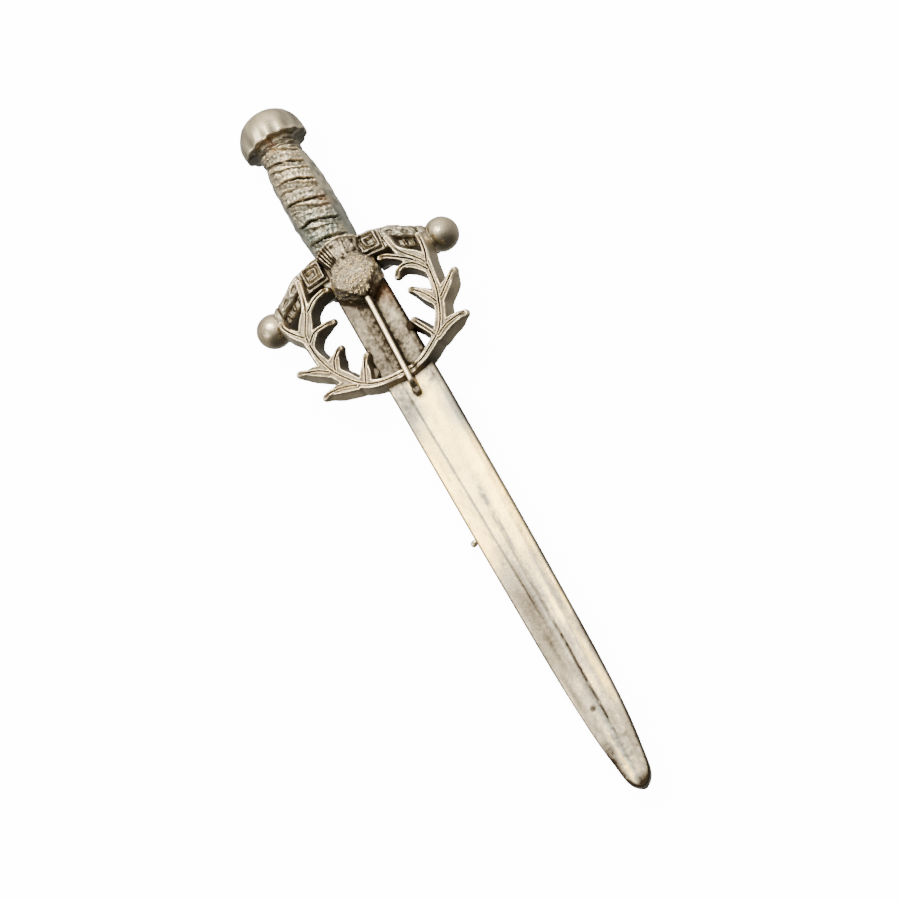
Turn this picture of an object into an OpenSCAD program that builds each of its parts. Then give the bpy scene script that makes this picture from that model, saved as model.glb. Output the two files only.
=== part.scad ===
// Kilt pin in the form of a short sword, lying on its back.
// The sword runs along Y with its point at -Y, and its face looks up.

/* [Pommel] */
// Diameter of the pommel's cap
pommel_d = 8.25; // [7:0.1:10]
// Height of the cap's dome
pommel_h = 5; // [3.5:0.1:8]
// Length of the ribbed collar under the cap
collar_l = 1.7; // [1.2:0.1:3]
// Diameter of the collar
collar_d = 5.3; // [4:0.1:6]

/* [Grip] */
// Length of the grip
grip_l = 14.3; // [10:0.1:18]
// Widest diameter of the grip, without its bands
grip_d = 6.3; // [5:0.1:7]
// How far the bands stand out of the grip
band_rise = 0.3; // [0.1:0.05:0.5]
// Number of slanting bands
band_n = 4; // [2:1:5]
// Slant of the bands in degrees
band_slant = 14; // [0:1:20]

/* [Guard] */
// Distance between the middles of the two ball ends
ball_span = 23.7; // [20:0.1:30]
// Diameter of a ball end
ball_d = 4.45; // [3.5:0.05:6]
// Length of the middle block, along the sword
hub_l = 5; // [4.5:0.1:7]
// Width of the middle block
hub_w = 7; // [6:0.1:9]
// Width of an arm's front face
arm_w = 2.75; // [2:0.05:3.5]
// Thickness of an arm at the middle block
arm_t = 4.2; // [3:0.1:5]
// How far the guard's face stands over the blade's face
guard_rise = 0.6; // [0.3:0.05:1]
// How far the arms bend towards the point
arm_drop = 2.9; // [1:0.1:4]
// How far the panels stand out of the arms
panel_rise = 0.4; // [0.1:0.05:0.6]

/* [Thistle] */
// Width of the tuft across its top
tuft_w = 6.2; // [5:0.1:7]
// Length from the tuft's top to the bulb's point
thistle_l = 9; // [8:0.1:11]
// Width of the bulb
bulb_w = 6; // [5:0.1:6.4]
// How far the bulb stands out of the blade's face
bulb_rise = 3.8; // [2.5:0.1:5]
// Number of flutes in the tuft
flute_n = 7; // [5:2:11]
// Number of rows of scales on the bulb
scale_rows = 7; // [4:1:9]
// Length of the stem below the bulb
stem_l = 12.4; // [11:0.1:16]
// Width of the stem's round top
stem_w = 0.84; // [0.6:0.02:1.2]
// Height of the stem over the blade's face
stem_rise = 2; // [1.5:0.1:3]

/* [Wreath] */
// Spread of the wreath from the left leaf tips to the right ones
wreath_w = 23.4; // [20:0.1:26]
// Length of the wreath from its upper leaf tips to its foot
wreath_l = 18; // [16:0.1:21]
// Height of the leaves' tops over the blade's face
leaf_rise = 1.1; // [0.8:0.05:1.4]
// Thickness of the part of the wreath that runs under the stem
bridge_t = 0.5; // [0.3:0.05:0.7]
// Thickness of the leaves
leaf_t = 2.1; // [1.6:0.1:2.8]
// Width of the veins on the leaves
vein_w = 0.26; // [0.15:0.01:0.3]
// Height of the veins on the leaves
vein_rise = 0.15; // [0.05:0.05:0.3]

/* [Blade] */
// Length of the blade below the guard's middle block
blade_l = 76; // [60:0.5:95]
// Width of the blade
blade_w = 6.6; // [5.5:0.1:7]
// Thickness of the blade along its middle
blade_t = 2.2; // [1.8:0.1:2.6]
// Width of the middle groove
groove_w = 0.3; // [0.1:0.05:0.6]
// Depth of the middle groove
groove_d = 0.15; // [0.05:0.05:0.3]

/* [Fastening] */
// Distance from the guard's block to the hinge block
hinge_at = 7; // [4:0.5:12]
// Length of the pin stem between its two blocks
pin_l = 25; // [18:0.5:34]
// Diameter of the pin stem
pin_d = 1.1; // [0.8:0.05:1.3]
// Width of the hinge and catch blocks
block_w = 3.6; // [3:0.1:5]
// Length of the hinge and catch blocks
block_l = 3; // [2:0.1:4]
// Diameter of the knob on the catch
knob_d = 0.9; // [0.7:0.05:1.2]

/* [Fit] */
// Clearance between neighbouring pieces
fit_gap = 0.05; // [0.03:0.01:0.1]

/* [Hidden] */

metal = "#b9ad98";
dark_metal = "#8f8778";

// Distances along the sword, from the top of the pommel
grip_at = pommel_h + collar_l;
hub_at = grip_at + grip_l;
blade_at = hub_at + hub_l;
total_l = blade_at + blade_l;
thistle_at = hub_at - 0.06 * hub_l;
bulb_end = thistle_at + thistle_l;
arm_at = hub_at + 0.03 * hub_l;
arm_in = 0.47 * hub_w;
wreath_at = hub_at + 0.22 * hub_l;
wreath_end = wreath_at + wreath_l;

// Heights over the surface that the pin lies on
axis_z = pommel_d / 2;
back_z = axis_z - blade_t / 2;
face_z = axis_z + blade_t / 2;
guard_front = face_z + guard_rise;
guard_back = guard_front - arm_t;
leaf_top = face_z + leaf_rise;

// Cap outline, as shares of its radius and of the dome's height
cap = [[0, 0], [0.26, 0.015], [0.5, 0.09], [0.72, 0.23], [0.88, 0.42], [0.97, 0.62], [1, 0.82], [0.99, 0.97],
       [0.95, 1], [0.72, 0.98]];
// Grip outline, as shares of its length and of its widest radius
barrel = [[0, 0.76], [0.1, 0.86], [0.25, 0.95], [0.42, 0.99], [0.6, 1], [0.78, 0.97], [0.9, 0.92], [1, 0.88]];
// Blade outline, as shares of its length and of its half width
edge = [[0, 0.98], [0.17, 1], [0.4, 0.985], [0.52, 0.97], [0.64, 0.94], [0.74, 0.91], [0.81, 0.86], [0.87, 0.79],
        [0.91, 0.7], [0.94, 0.61], [0.965, 0.5], [0.985, 0.36], [0.995, 0.22], [1, 0.09]];
// Arm stations, as shares of the way from the block to the ball, of the drop, of the thickness lost in front
// and of the width
arm = [[0, 0, 0, 1], [0.3, 0.14, 0.07, 0.98], [0.58, 0.545, 0.18, 0.97], [0.86, 1, 0.36, 0.92]];
// Bulb outline, as shares of its length and of its half width
bulb = [[0, 0.66], [0.14, 0.88], [0.3, 1], [0.5, 0.97], [0.7, 0.8], [0.87, 0.5], [1, 0.16]];

// Branch and leaf points as shares: across from the middle, down from the upper tips, and half width.
// The first and third numbers are shares of the wreath's half spread.
left_branch = [[0.065, 0.995, 0.038], [0.235, 0.98, 0.04], [0.365, 0.95, 0.045], [0.48, 0.895, 0.05],
               [0.56, 0.83, 0.065], [0.65, 0.735, 0.06], [0.7, 0.64, 0.055], [0.73, 0.545, 0.042],
               [0.73, 0.455, 0.045], [0.715, 0.39, 0.065], [0.655, 0.32, 0.07], [0.59, 0.24, 0.045],
               [0.55, 0.15, 0.03], [0.515, 0.025, 0.016]];
left_leaves = [
    [[0.585, 0.26, 0.036], [0.46, 0.205, 0.036], [0.35, 0.185, 0.024], [0.3, 0.18, 0.014]],
    [[0.74, 0.41, 0.05], [0.825, 0.345, 0.045], [0.88, 0.28, 0.025], [0.885, 0.225, 0.012]],
    [[0.72, 0.465, 0.05], [0.63, 0.415, 0.04], [0.525, 0.405, 0.023], [0.405, 0.405, 0.016]],
    [[0.7, 0.715, 0.057], [0.8, 0.665, 0.057], [0.9, 0.64, 0.033], [0.985, 0.61, 0.016]],
    [[0.63, 0.73, 0.05], [0.595, 0.67, 0.057], [0.535, 0.63, 0.028], [0.475, 0.6, 0.018]],
    [[0.51, 0.905, 0.05], [0.63, 0.87, 0.06], [0.76, 0.855, 0.04], [0.865, 0.855, 0.016]],
    [[0.42, 0.93, 0.04], [0.39, 0.875, 0.055], [0.33, 0.805, 0.033], [0.27, 0.74, 0.014]]];
right_branch = [[0.065, 1, 0.038], [0.21, 0.985, 0.04], [0.335, 0.945, 0.045], [0.44, 0.9, 0.05],
                [0.545, 0.85, 0.06], [0.625, 0.765, 0.055], [0.675, 0.685, 0.055], [0.72, 0.6, 0.05],
                [0.745, 0.51, 0.045], [0.76, 0.395, 0.05], [0.7, 0.32, 0.07], [0.615, 0.25, 0.05],
                [0.555, 0.18, 0.035], [0.525, 0.075, 0.016]];
right_leaves = [
    [[0.6, 0.25, 0.033], [0.505, 0.205, 0.028], [0.43, 0.18, 0.02], [0.365, 0.17, 0.012]],
    [[0.77, 0.39, 0.04], [0.81, 0.32, 0.036], [0.83, 0.245, 0.024], [0.83, 0.175, 0.012]],
    [[0.745, 0.45, 0.04], [0.665, 0.375, 0.05], [0.57, 0.34, 0.036], [0.485, 0.34, 0.018], [0.43, 0.355, 0.014]],
    [[0.72, 0.66, 0.05], [0.83, 0.605, 0.05], [0.91, 0.565, 0.033], [0.97, 0.53, 0.016]],
    [[0.655, 0.675, 0.04], [0.605, 0.605, 0.05], [0.545, 0.555, 0.024], [0.48, 0.5, 0.016]],
    [[0.495, 0.895, 0.05], [0.625, 0.855, 0.055], [0.755, 0.845, 0.036], [0.85, 0.845, 0.016]],
    [[0.465, 0.885, 0.033], [0.44, 0.82, 0.04], [0.4, 0.755, 0.02], [0.355, 0.69, 0.014]]];

// Puts its children so many millimetres below the top of the pommel.
module down(s) {
    translate([0, total_l / 2 - s, 0])
        children();
}

// Turns an outline of [radius, distance] about the sword's middle line.
module turned(outline, fn = 96) {
    translate([0, 0, axis_z])
        rotate([90, 0, 0])
            rotate_extrude($fn = fn)
                polygon(outline);
}

// Closed skin over rings that hold the same number of points.
module skin(rings) {
    n = len(rings[0]);
    m = len(rings);
    sides = [for (i = [0 : m - 2], k = [0 : n - 1])
        [i * n + k, i * n + (k + 1) % n, (i + 1) * n + (k + 1) % n, (i + 1) * n + k]];
    first = [[for (k = [0 : n - 1]) n - 1 - k]];
    last = [[for (k = [0 : n - 1]) (m - 1) * n + k]];
    polyhedron([for (r = rings) each r], concat(sides, first, last), convexity = 6);
}

// Section of the blade at one station, seen along the sword.
function blade_ring(at, share, thin) = let (
        w = blade_w / 2 * share,
        y = total_l / 2 - blade_at - fit_gap - at * (blade_l - fit_gap),
        low = back_z,
        high = low + (face_z - low) * thin,
        g = min(groove_w / 2, w / 5))
    [[w, y, low], [w * 0.96, y, low + (high - low) * 0.7], [w * 0.62, y, low + (high - low) * 0.88], [g, y, high],
     [0, y, high - groove_d], [-g, y, high], [-w * 0.62, y, low + (high - low) * 0.88],
     [-w * 0.96, y, low + (high - low) * 0.7], [-w, y, low]];

module blade() {
    color(metal)
        skin([for (e = edge) blade_ring(e[0], e[1], e[0] > 0.9 ? 1 - (e[0] - 0.9) * 3 : 1)]);
}

module barrel_solid(grow) {
    inner = [for (b = barrel) [grip_d / 2 * b[1] + grow, grip_at + fit_gap + b[0] * (grip_l - 2 * fit_gap)]];
    turned(concat([[0, inner[0][1]]], inner, [[0, inner[len(inner) - 1][1]]]));
}

// One slanting slab for each band, over the front of the grip.
module band_slabs() {
    pitch = grip_l / (band_n + 0.6);
    for (i = [0 : band_n - 1])
        down(grip_at + pitch * (i + 0.75))
            rotate([-10, 0, -band_slant])
                translate([-0.8 * grip_d / 2, -pitch * 0.3, axis_z])
                    cube([1.6 * grip_d / 2, pitch * 0.6, grip_d]);
}

module grip() {
    color(dark_metal)
        union() {
            down(0)
                barrel_solid(0);
            intersection() {
                down(0)
                    barrel_solid(band_rise);
                band_slabs();
            }
        }
}

module pommel() {
    rim = [for (c = cap) [pommel_d / 2 * c[0], pommel_h * c[1]]];
    neck = [[collar_d * 0.46, pommel_h + 0.25 * collar_l], [collar_d / 2, pommel_h + 0.4 * collar_l],
            [collar_d / 2, pommel_h + 0.6 * collar_l], [collar_d * 0.46, pommel_h + 0.7 * collar_l],
            [collar_d * 0.48, pommel_h + 0.8 * collar_l], [collar_d * 0.47, grip_at], [0, grip_at]];
    color(metal)
        down(0)
            turned(concat(rim, neck));
}

// Distance of an arm's station from the middle.
function arm_x(share) = arm_in + share * (ball_span / 2 - arm_in);

// Chamfered section of a guard arm, drawn at one station.
module arm_slab(a, grow) {
    s = arm_at + a[1] * arm_drop;
    top = guard_front - a[2] * arm_t + grow;
    low = max(guard_back - a[2] * arm_t * 0.6, 0.07 * arm_t) - grow;
    w = arm_w * a[3];
    c = 0.13 * arm_w;
    knee = low + 0.24 * arm_t;
    translate([arm_x(a[0]), total_l / 2 - s, 0])
        rotate([90, 0, 90])
            linear_extrude(0.01 * arm_w)
                polygon([[grow, top - c], [-c, top], [-w + c, top], [-w - grow, top - c],
                         [-w - 0.44 * arm_w - grow, knee], [-w - 0.33 * arm_w - grow, low],
                         [0.07 * arm_w + grow, low], [0.18 * arm_w + grow, knee]]);
}

module arm_body(grow) {
    for (side = [0, 1])
        mirror([side, 0, 0])
            for (i = [0 : len(arm) - 2])
                hull() {
                    arm_slab(arm[i], grow);
                    arm_slab(arm[i + 1], grow);
                }
}

module balls(grow) {
    for (side = [-1, 1])
        down(arm_at + arm_drop + arm_w * 0.4)
            translate([side * ball_span / 2, 0, ball_d / 2])
                sphere(d = ball_d + 2 * grow, $fn = 64);
}

module hub(grow) {
    down(blade_at - fit_gap + grow)
        translate([-hub_w / 2 - grow, 0, guard_back - grow])
            cube([hub_w + 2 * grow, hub_l - 2 * fit_gap + 2 * grow, guard_front - guard_back + 2 * grow]);
}

// Raised frame with a key-shaped bar inside it.
module key_panel(w, h) {
    bar = 0.115 * arm_w;
    sunk = 0.2 * arm_w;
    rise = panel_rise + sunk;
    translate([-w / 2, -h / 2, -sunk]) {
        difference() {
            cube([w, h, rise]);
            translate([bar, bar, -rise])
                cube([w - 2 * bar, h - 2 * bar, 3 * rise]);
        }
        translate([w * 0.3, 0, 0])
            cube([bar, h * 0.65, rise]);
        translate([w * 0.3, h * 0.65 - bar, 0])
            cube([w * 0.3, bar, rise]);
        translate([w * 0.7, h * 0.35, 0])
            cube([bar, h * 0.65, rise]);
    }
}

// Arm table read between its stations.
function arm_mid(i, k) = let (a = floor(min(i, len(arm) - 1.001)), t = i - a)
    arm[a][k] * (1 - t) + arm[a + 1][k] * t;

// Lays its children on an arm's face, between two places along it.
module on_arm(i, j) {
    dx = arm_x(arm_mid(j, 0)) - arm_x(arm_mid(i, 0));
    turn = atan2((arm_mid(i, 1) - arm_mid(j, 1)) * arm_drop, dx);
    tilt = atan2((arm_mid(j, 2) - arm_mid(i, 2)) * arm_t, dx);
    s = arm_at + (arm_mid(i, 1) + arm_mid(j, 1)) / 2 * arm_drop + arm_w / 2;
    top = guard_front - (arm_mid(i, 2) + arm_mid(j, 2)) / 2 * arm_t;
    translate([arm_x((arm_mid(i, 0) + arm_mid(j, 0)) / 2), total_l / 2 - s, top])
        rotate([0, tilt, turn])
            children();
}

// Two panels and an end strap on each arm, or the plain room that they fill.
module panels(room) {
    reach = ball_span / 2 - arm_in;
    inner = [reach * 0.28, arm_w * 0.8];
    outer = [reach * 0.31, arm_w * 0.76];
    strap = [reach * 0.1, arm_w * 0.96];
    for (side = [0, 1])
        mirror([side, 0, 0]) {
            on_arm(0, 1)
                if (room > 0)
                    cube([inner[0] + 2 * room, inner[1] + 2 * room, 2 * (panel_rise + room)], center = true);
                else
                    key_panel(inner[0], inner[1]);
            on_arm(1.6, 2.6)
                if (room > 0)
                    cube([outer[0] + 2 * room, outer[1] + 2 * room, 2 * (panel_rise + room)], center = true);
                else
                    key_panel(outer[0], outer[1]);
            on_arm(2.7, 3)
                cube([strap[0] + 2 * room, strap[1] + 2 * room, panel_rise + 2 * room], center = true);
        }
}

// The whole guard, or the room that it needs when it is grown by a clearance.
module guard_body(grow) {
    arm_body(grow);
    balls(grow);
    hub(grow);
    panels(grow);
}

module guard() {
    color(metal)
        guard_body(0);
}

// Flutes that fan out of the bulb's neck.
module tuft() {
    neck_s = thistle_at + 0.4 * thistle_l;
    tip_r = 0.09 * tuft_w;
    neck_r = 0.083 * bulb_w;
    for (i = [0 : flute_n - 1]) {
        t = i / (flute_n - 1) * 2 - 1;
        crown_s = thistle_at + tip_r + 0.1 * thistle_l * t * t;
        hull() {
            down(crown_s)
                translate([t * (tuft_w / 2 - tip_r), 0, face_z + bulb_rise * (0.72 - 0.25 * t * t)])
                    sphere(r = tip_r, $fn = 12);
            down(neck_s)
                translate([t * bulb_w * 0.24, 0, face_z + bulb_rise * (0.62 - 0.2 * t * t)])
                    sphere(r = neck_r, $fn = 12);
            down(neck_s)
                translate([t * bulb_w * 0.22, 0, face_z])
                    sphere(r = neck_r, $fn = 12);
            down(max(crown_s, hub_at + fit_gap) + 1.5 * tip_r)
                translate([t * (tuft_w / 2 - tip_r), 0, face_z])
                    sphere(r = tip_r, $fn = 12);
        }
    }
}

function bulb_s(at) = thistle_at + thistle_l * (0.36 + 0.64 * at);

// Half of a round bulb, stretched to its rise over the blade's face.
module bulb_body(grow) {
    outline = [for (b = bulb) [bulb_w / 2 * b[1] + grow, bulb_s(b[0])]];
    down(0)
        translate([0, 0, face_z])
            scale([1, 1, 2 * bulb_rise / bulb_w])
                rotate([90, 0, 0])
                    rotate_extrude($fn = 40)
                        polygon(concat([[0, bulb_s(0)]], outline, [[0, bulb_s(1)]]));
}

// Rows of small scales over the front of the bulb.
module bulb_scales() {
    for (row = [0 : scale_rows - 1]) {
        at = 0.1 + 0.74 * row / (scale_rows - 1);
        r = bulb_w / 2 * lookup(at, bulb);
        n = ceil(6.5 * lookup(at, bulb));
        for (k = [0 : n - 1]) {
            a = (k - (n - 1) / 2 + (row % 2) * 0.5 - 0.25) * 115 / n;
            down(bulb_s(at))
                translate([r * sin(a), 0, face_z + r * cos(a) * 2 * bulb_rise / bulb_w])
                    sphere(r = bulb_w * 0.06, $fn = 8);
        }
    }
}

// Round-topped rib, or the room that it needs above the wreath's bridge.
module stem_rib(grow) {
    foot_w = 1.55 * stem_w;
    run = stem_l + 0.17 * thistle_l;
    down(bulb_end + stem_l + grow)
        hull() {
            translate([0, 0, face_z + stem_rise - stem_w / 2])
                rotate([-90, 0, 0])
                    cylinder(d = stem_w + 2 * grow, h = run, $fn = 24);
            translate([-foot_w / 2 - grow, 0, face_z])
                cube([foot_w + 2 * grow, run, 0.1 * stem_rise]);
        }
}

// The wreath runs under the stem through a low arch.
module stem_arch(grow) {
    half = 0.06 * wreath_w;
    down(wreath_end + half + grow)
        translate([-stem_w, 0, face_z - bridge_t])
            cube([2 * stem_w, 2 * (half + grow), 2 * bridge_t + grow]);
}

module stem() {
    difference() {
        stem_rib(0);
        stem_arch(fit_gap);
    }
    down(bulb_end + stem_l)
        translate([0, 0, face_z])
            cylinder(d1 = 2.2 * stem_w, d2 = 1.55 * stem_w, h = 0.75 * stem_rise, $fn = 24);
}

module thistle() {
    color(metal)
        difference() {
            union() {
                tuft();
                bulb_body(0);
                bulb_scales();
                stem();
            }
            down(total_l)
                translate([-total_l / 2, 0, face_z + fit_gap - total_l])
                    cube([total_l, total_l, total_l]);
            guard_body(fit_gap);
        }
}

// Round spot of a branch or a leaf, seen from above.
module spot(side, p, r) {
    translate([side * p[0] * wreath_w / 2, total_l / 2 - wreath_at - p[1] * wreath_l])
        circle(r = r, $fn = 24);
}

// Outline strung through points, with their own half widths or one given width.
module strand(side, points, r = 0) {
    for (i = [0 : len(points) - 2])
        hull()
            for (p = [points[i], points[i + 1]])
                spot(side, p, r > 0 ? r : p[2] * wreath_w / 2);
}

module wreath_outline() {
    strand(-1, left_branch);
    strand(1, right_branch);
    for (l = left_leaves)
        strand(-1, l);
    for (l = right_leaves)
        strand(1, l);
    hull() {
        spot(-1, left_branch[0], left_branch[0][2] * wreath_w / 2);
        spot(1, right_branch[0], right_branch[0][2] * wreath_w / 2);
    }
}

// Thin lines along the branches and leaves, which stop short of the leaf tips.
module vein_outline() {
    strand(-1, [for (i = [0 : len(left_branch) - 2]) left_branch[i]], vein_w / 2);
    strand(1, [for (i = [0 : len(right_branch) - 2]) right_branch[i]], vein_w / 2);
    for (l = left_leaves)
        strand(-1, [for (i = [0 : len(l) - 2]) l[i]], vein_w / 2);
    for (l = right_leaves)
        strand(1, [for (i = [0 : len(l) - 2]) l[i]], vein_w / 2);
}

module wreath() {
    color(metal)
        difference() {
            union() {
                translate([0, 0, leaf_top - leaf_t])
                    linear_extrude(leaf_t)
                        wreath_outline();
                translate([0, 0, leaf_top - leaf_t / 2])
                    linear_extrude(leaf_t / 2 + vein_rise)
                        vein_outline();
            }
            down(total_l)
                translate([-blade_w / 2 - fit_gap, 0, face_z + fit_gap - total_l])
                    cube([blade_w + 2 * fit_gap, total_l, total_l]);
            guard_body(fit_gap);
            bulb_body(3 * fit_gap);
            difference() {
                stem_rib(fit_gap);
                stem_arch(0);
            }
        }
}

module brooch_pin() {
    hinge_s = blade_at + hinge_at;
    catch_s = hinge_s + block_l + pin_l;
    pin_z = back_z * 0.42;
    color(dark_metal) {
        down(hinge_s + block_l)
            translate([-block_w / 2, 0, 0])
                cube([block_w, block_l, back_z - fit_gap]);
        down(catch_s + block_l)
            translate([-block_w / 2, 0, 0])
                cube([block_w, block_l, back_z - fit_gap]);
        down(catch_s + pin_d / 2)
            translate([0, 0, pin_z])
                rotate([-90, 0, 0])
                    cylinder(d = pin_d, h = pin_l + pin_d, $fn = 48);
        down(catch_s + block_l / 2)
            translate([-blade_w / 2 - 0.6 * knob_d, 0, back_z * 0.6])
                rotate([0, 90, 0])
                    cylinder(d = knob_d, h = blade_w / 2, $fn = 48);
    }
}

blade();
grip();
pommel();
guard();
thistle();
wreath();
brooch_pin();
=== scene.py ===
import math
from itertools import product
import bpy
import numpy as np
from mathutils import Matrix, Vector


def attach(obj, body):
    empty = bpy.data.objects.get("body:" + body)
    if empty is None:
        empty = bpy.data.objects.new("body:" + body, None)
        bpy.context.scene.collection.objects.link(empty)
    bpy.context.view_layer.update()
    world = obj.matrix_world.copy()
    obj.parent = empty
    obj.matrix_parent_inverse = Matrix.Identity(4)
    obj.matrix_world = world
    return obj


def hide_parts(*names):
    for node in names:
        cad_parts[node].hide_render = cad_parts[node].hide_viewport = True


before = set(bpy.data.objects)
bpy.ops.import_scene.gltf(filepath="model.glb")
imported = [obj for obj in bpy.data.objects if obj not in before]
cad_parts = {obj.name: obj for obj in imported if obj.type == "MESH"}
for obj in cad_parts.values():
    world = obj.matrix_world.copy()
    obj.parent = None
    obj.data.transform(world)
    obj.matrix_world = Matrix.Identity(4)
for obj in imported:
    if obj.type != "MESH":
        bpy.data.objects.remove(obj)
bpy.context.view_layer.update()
print("frame loaded")

# Sizes in millimetres, as in the part. A place along the sword is counted from the pommel's top.
farAway = 9.0
sword = {
    "length": 102.0, "axisHeight": 4.125, "backHeight": 3.025, "faceHeight": 5.225, "guardFront": 5.825,
    "guardBack": 1.625, "leafTop": 6.325}


# Camera

photo = {
    "aim": (-0.000129, -0.000148, 0.004073), "lean": 29.904, "widthSeen": 0.110408, "distance": 2.5,
    "right": (0.99890, 0.0, -0.04688), "up": (0.01718, 0.93042, 0.36610),
    "back": (0.04362, -0.36650, 0.92939)}


def placeCamera():
    right, up, back = (Vector(photo[k]) for k in ("right", "up", "back"))
    lean = math.radians(photo["lean"])
    rolledRight = right * math.cos(lean) - up * math.sin(lean)
    rolledUp = right * math.sin(lean) + up * math.cos(lean)
    lens = bpy.data.cameras.new("camera")
    lens.sensor_width = 36
    lens.lens = 36 * photo["distance"] / photo["widthSeen"]
    lens.clip_start, lens.clip_end = 0.01, 20
    camera = bpy.data.objects.new("camera", lens)
    turn = Matrix((rolledRight, rolledUp, back)).transposed().to_4x4()
    camera.matrix_world = Matrix.Translation(Vector(photo["aim"]) + back * photo["distance"]) @ turn
    bpy.context.scene.collection.objects.link(camera)
    bpy.context.scene.camera = camera


placeCamera()
print("camera placed")


# Shader wiring

class Wire:
    def __init__(self, tree, socket=None):
        self.tree, self.socket = tree, socket

    def node(self, kind, settings=None, inputs=None, out=0):
        made = self.tree.nodes.new(kind)
        for key, value in (settings or {}).items():
            if key == "stops":
                ramp = made.color_ramp
                while len(ramp.elements) < len(value):
                    ramp.elements.new(0.5)
                for element, (at, shade) in zip(ramp.elements, value):
                    element.position = at
                    element.color = shade if isinstance(shade, tuple) else (shade, shade, shade, 1)
            else:
                setattr(made, key, value)
        for key, value in (inputs or {}).items():
            if isinstance(value, Wire):
                self.tree.links.new(value.socket, made.inputs[key])
            else:
                made.inputs[key].default_value = value
        return Wire(self.tree, made.outputs[out])

    def maths(self, operation, first, second, clamp=False):
        return self.node("ShaderNodeMath", {"operation": operation, "use_clamp": clamp}, {0: first, 1: second})

    def __add__(self, other):
        return self.maths("ADD", self, other)

    __radd__ = __add__

    def __sub__(self, other):
        return self.maths("SUBTRACT", self, other)

    def __rsub__(self, other):
        return self.maths("SUBTRACT", other, self)

    def __mul__(self, other):
        return self.maths("MULTIPLY", self, other)

    __rmul__ = __mul__

    def clamped(self):
        return self.maths("ADD", self, 0.0, True)

    def noise(self, size, detail=3.0, rough=0.55, warp=0.0):
        place = self.node("ShaderNodeTexCoord", out="Object")
        return self.node("ShaderNodeTexNoise", {}, {"Vector": place, "Scale": 1000.0 / size, "Detail": detail,
                         "Roughness": rough, "Distortion": warp}, "Fac")

    def layer(self, name):
        return self.node("ShaderNodeAttribute", {"attribute_name": name}, out="Fac")

    def blend(self, factor, first, second):
        return self.node("ShaderNodeMix", {"data_type": "RGBA"}, {0: factor, 6: first, 7: second}, 2)


# Old nickel-plated pewter: bright worn faces, brown tarnish that settles in the hollows. The same darkness
# layer also carries painted shade on walls, undersides and sides.
finish = {
    "bright": (0.98, 0.775, 0.455, 1), "cream": (1.0, 0.67, 0.18, 1), "middle": (0.36, 0.295, 0.19, 1),
    "deep": (0.03, 0.02, 0.01, 1), "rust": (0.25, 0.08, 0.02, 1), "green": (0.25, 0.32, 0.25, 1),
    "grey": (0.35, 0.345, 0.27, 1)}


def pewter(name, smooth=0.26, grain=0.2, blotch=2.5, blotchiness=0.3, speckle=0.28, bumps=0.05,
           bright="bright"):
    # grain and blotch are sizes in millimetres; smooth is the roughness of untarnished metal
    material = bpy.data.materials.new(name)
    material.use_nodes = True
    tree = material.node_tree
    shader = next(n for n in tree.nodes if n.type == "BSDF_PRINCIPLED")
    wire = Wire(tree)
    cloud = wire.noise(blotch, 5.0, 0.6, 0.4)
    fine = wire.noise(grain, 3.0, 0.6)
    wear_and_shade = (wire.layer("tarnish") + (cloud - 0.5) * blotchiness + (fine - 0.5) * speckle).clamped()
    stops = [(0.0, finish[bright]), (0.36, finish["middle"]), (0.95, finish["deep"])]
    colour = wire.node("ShaderNodeValToRGB", {"stops": stops}, {0: wear_and_shade})
    for film in ("grey", "green"):
        colour = wire.blend(wire.layer(film).clamped(), colour, wire.blend(wear_and_shade, finish[film], finish["deep"]))
    colour = wire.blend(wire.layer("rust").clamped(), colour, finish["rust"])
    rough = (wear_and_shade * 0.38 + smooth + (cloud - 0.5) * 0.12).clamped()
    lift = wire.node("ShaderNodeBump", {}, {"Strength": 0.6, "Distance": bumps / 1000,
                     "Height": fine + cloud * 0.6})
    tree.links.new(colour.socket, shader.inputs["Base Color"])
    tree.links.new(rough.socket, shader.inputs["Roughness"])
    tree.links.new(lift.socket, shader.inputs["Normal"])
    shader.inputs["Metallic"].default_value = 1.0
    return material


# Mesh helpers

def meshOf(name, points, quads, material, layers):
    # points in millimetres, one row each
    mesh = bpy.data.meshes.new(name)
    mesh.from_pydata((np.asarray(points, np.float64) / 1000).tolist(), [], quads.tolist(), shade_flat=False)
    mesh.validate()
    mesh.materials.append(material)
    for key in ("tarnish", "grey", "green", "rust"):
        values = np.broadcast_to(np.asarray(layers.get(key, 0.0), np.float32), (len(points),))
        mesh.attributes.new(key, "FLOAT", "POINT").data.foreach_set("value", np.ascontiguousarray(values))
    piece = bpy.data.objects.new(name, mesh)
    bpy.context.scene.collection.objects.link(piece)
    return piece


def joined(*parts):
    return np.stack(np.broadcast_arrays(*parts), -1)


def cells(low, high, step):
    axes = [np.arange(a, b + s, s, dtype=np.float32) for a, b, s in zip(low, high, step)]
    return np.meshgrid(*axes, indexing="ij", sparse=True)


def boxOf(across, down, height):
    # lowest and highest corner of a field's space, from its ranges across, down the sword and in height
    low = [across[0], fromTop(down[1]), height[0]]
    high = [across[1], fromTop(down[0]), height[1]]
    return np.array(low), np.array(high)


def blurred(volume, reach, times=2):
    # box blur along each axis, in cells
    out = volume.astype(np.float32)
    for axis in range(out.ndim):
        n = int(reach[axis])
        if n < 1:
            continue
        for _ in range(times):
            pad = [(0, 0)] * out.ndim
            pad[axis] = (n + 1, n)
            run = np.cumsum(np.pad(out, pad, mode="edge"), axis=axis, dtype=np.float64)
            size = out.shape[axis]
            ahead = np.take(run, range(2 * n + 1, 2 * n + 1 + size), axis=axis)
            behind = np.take(run, range(0, size), axis=axis)
            out = ((ahead - behind) / (2 * n + 1)).astype(np.float32)
    return out


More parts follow.
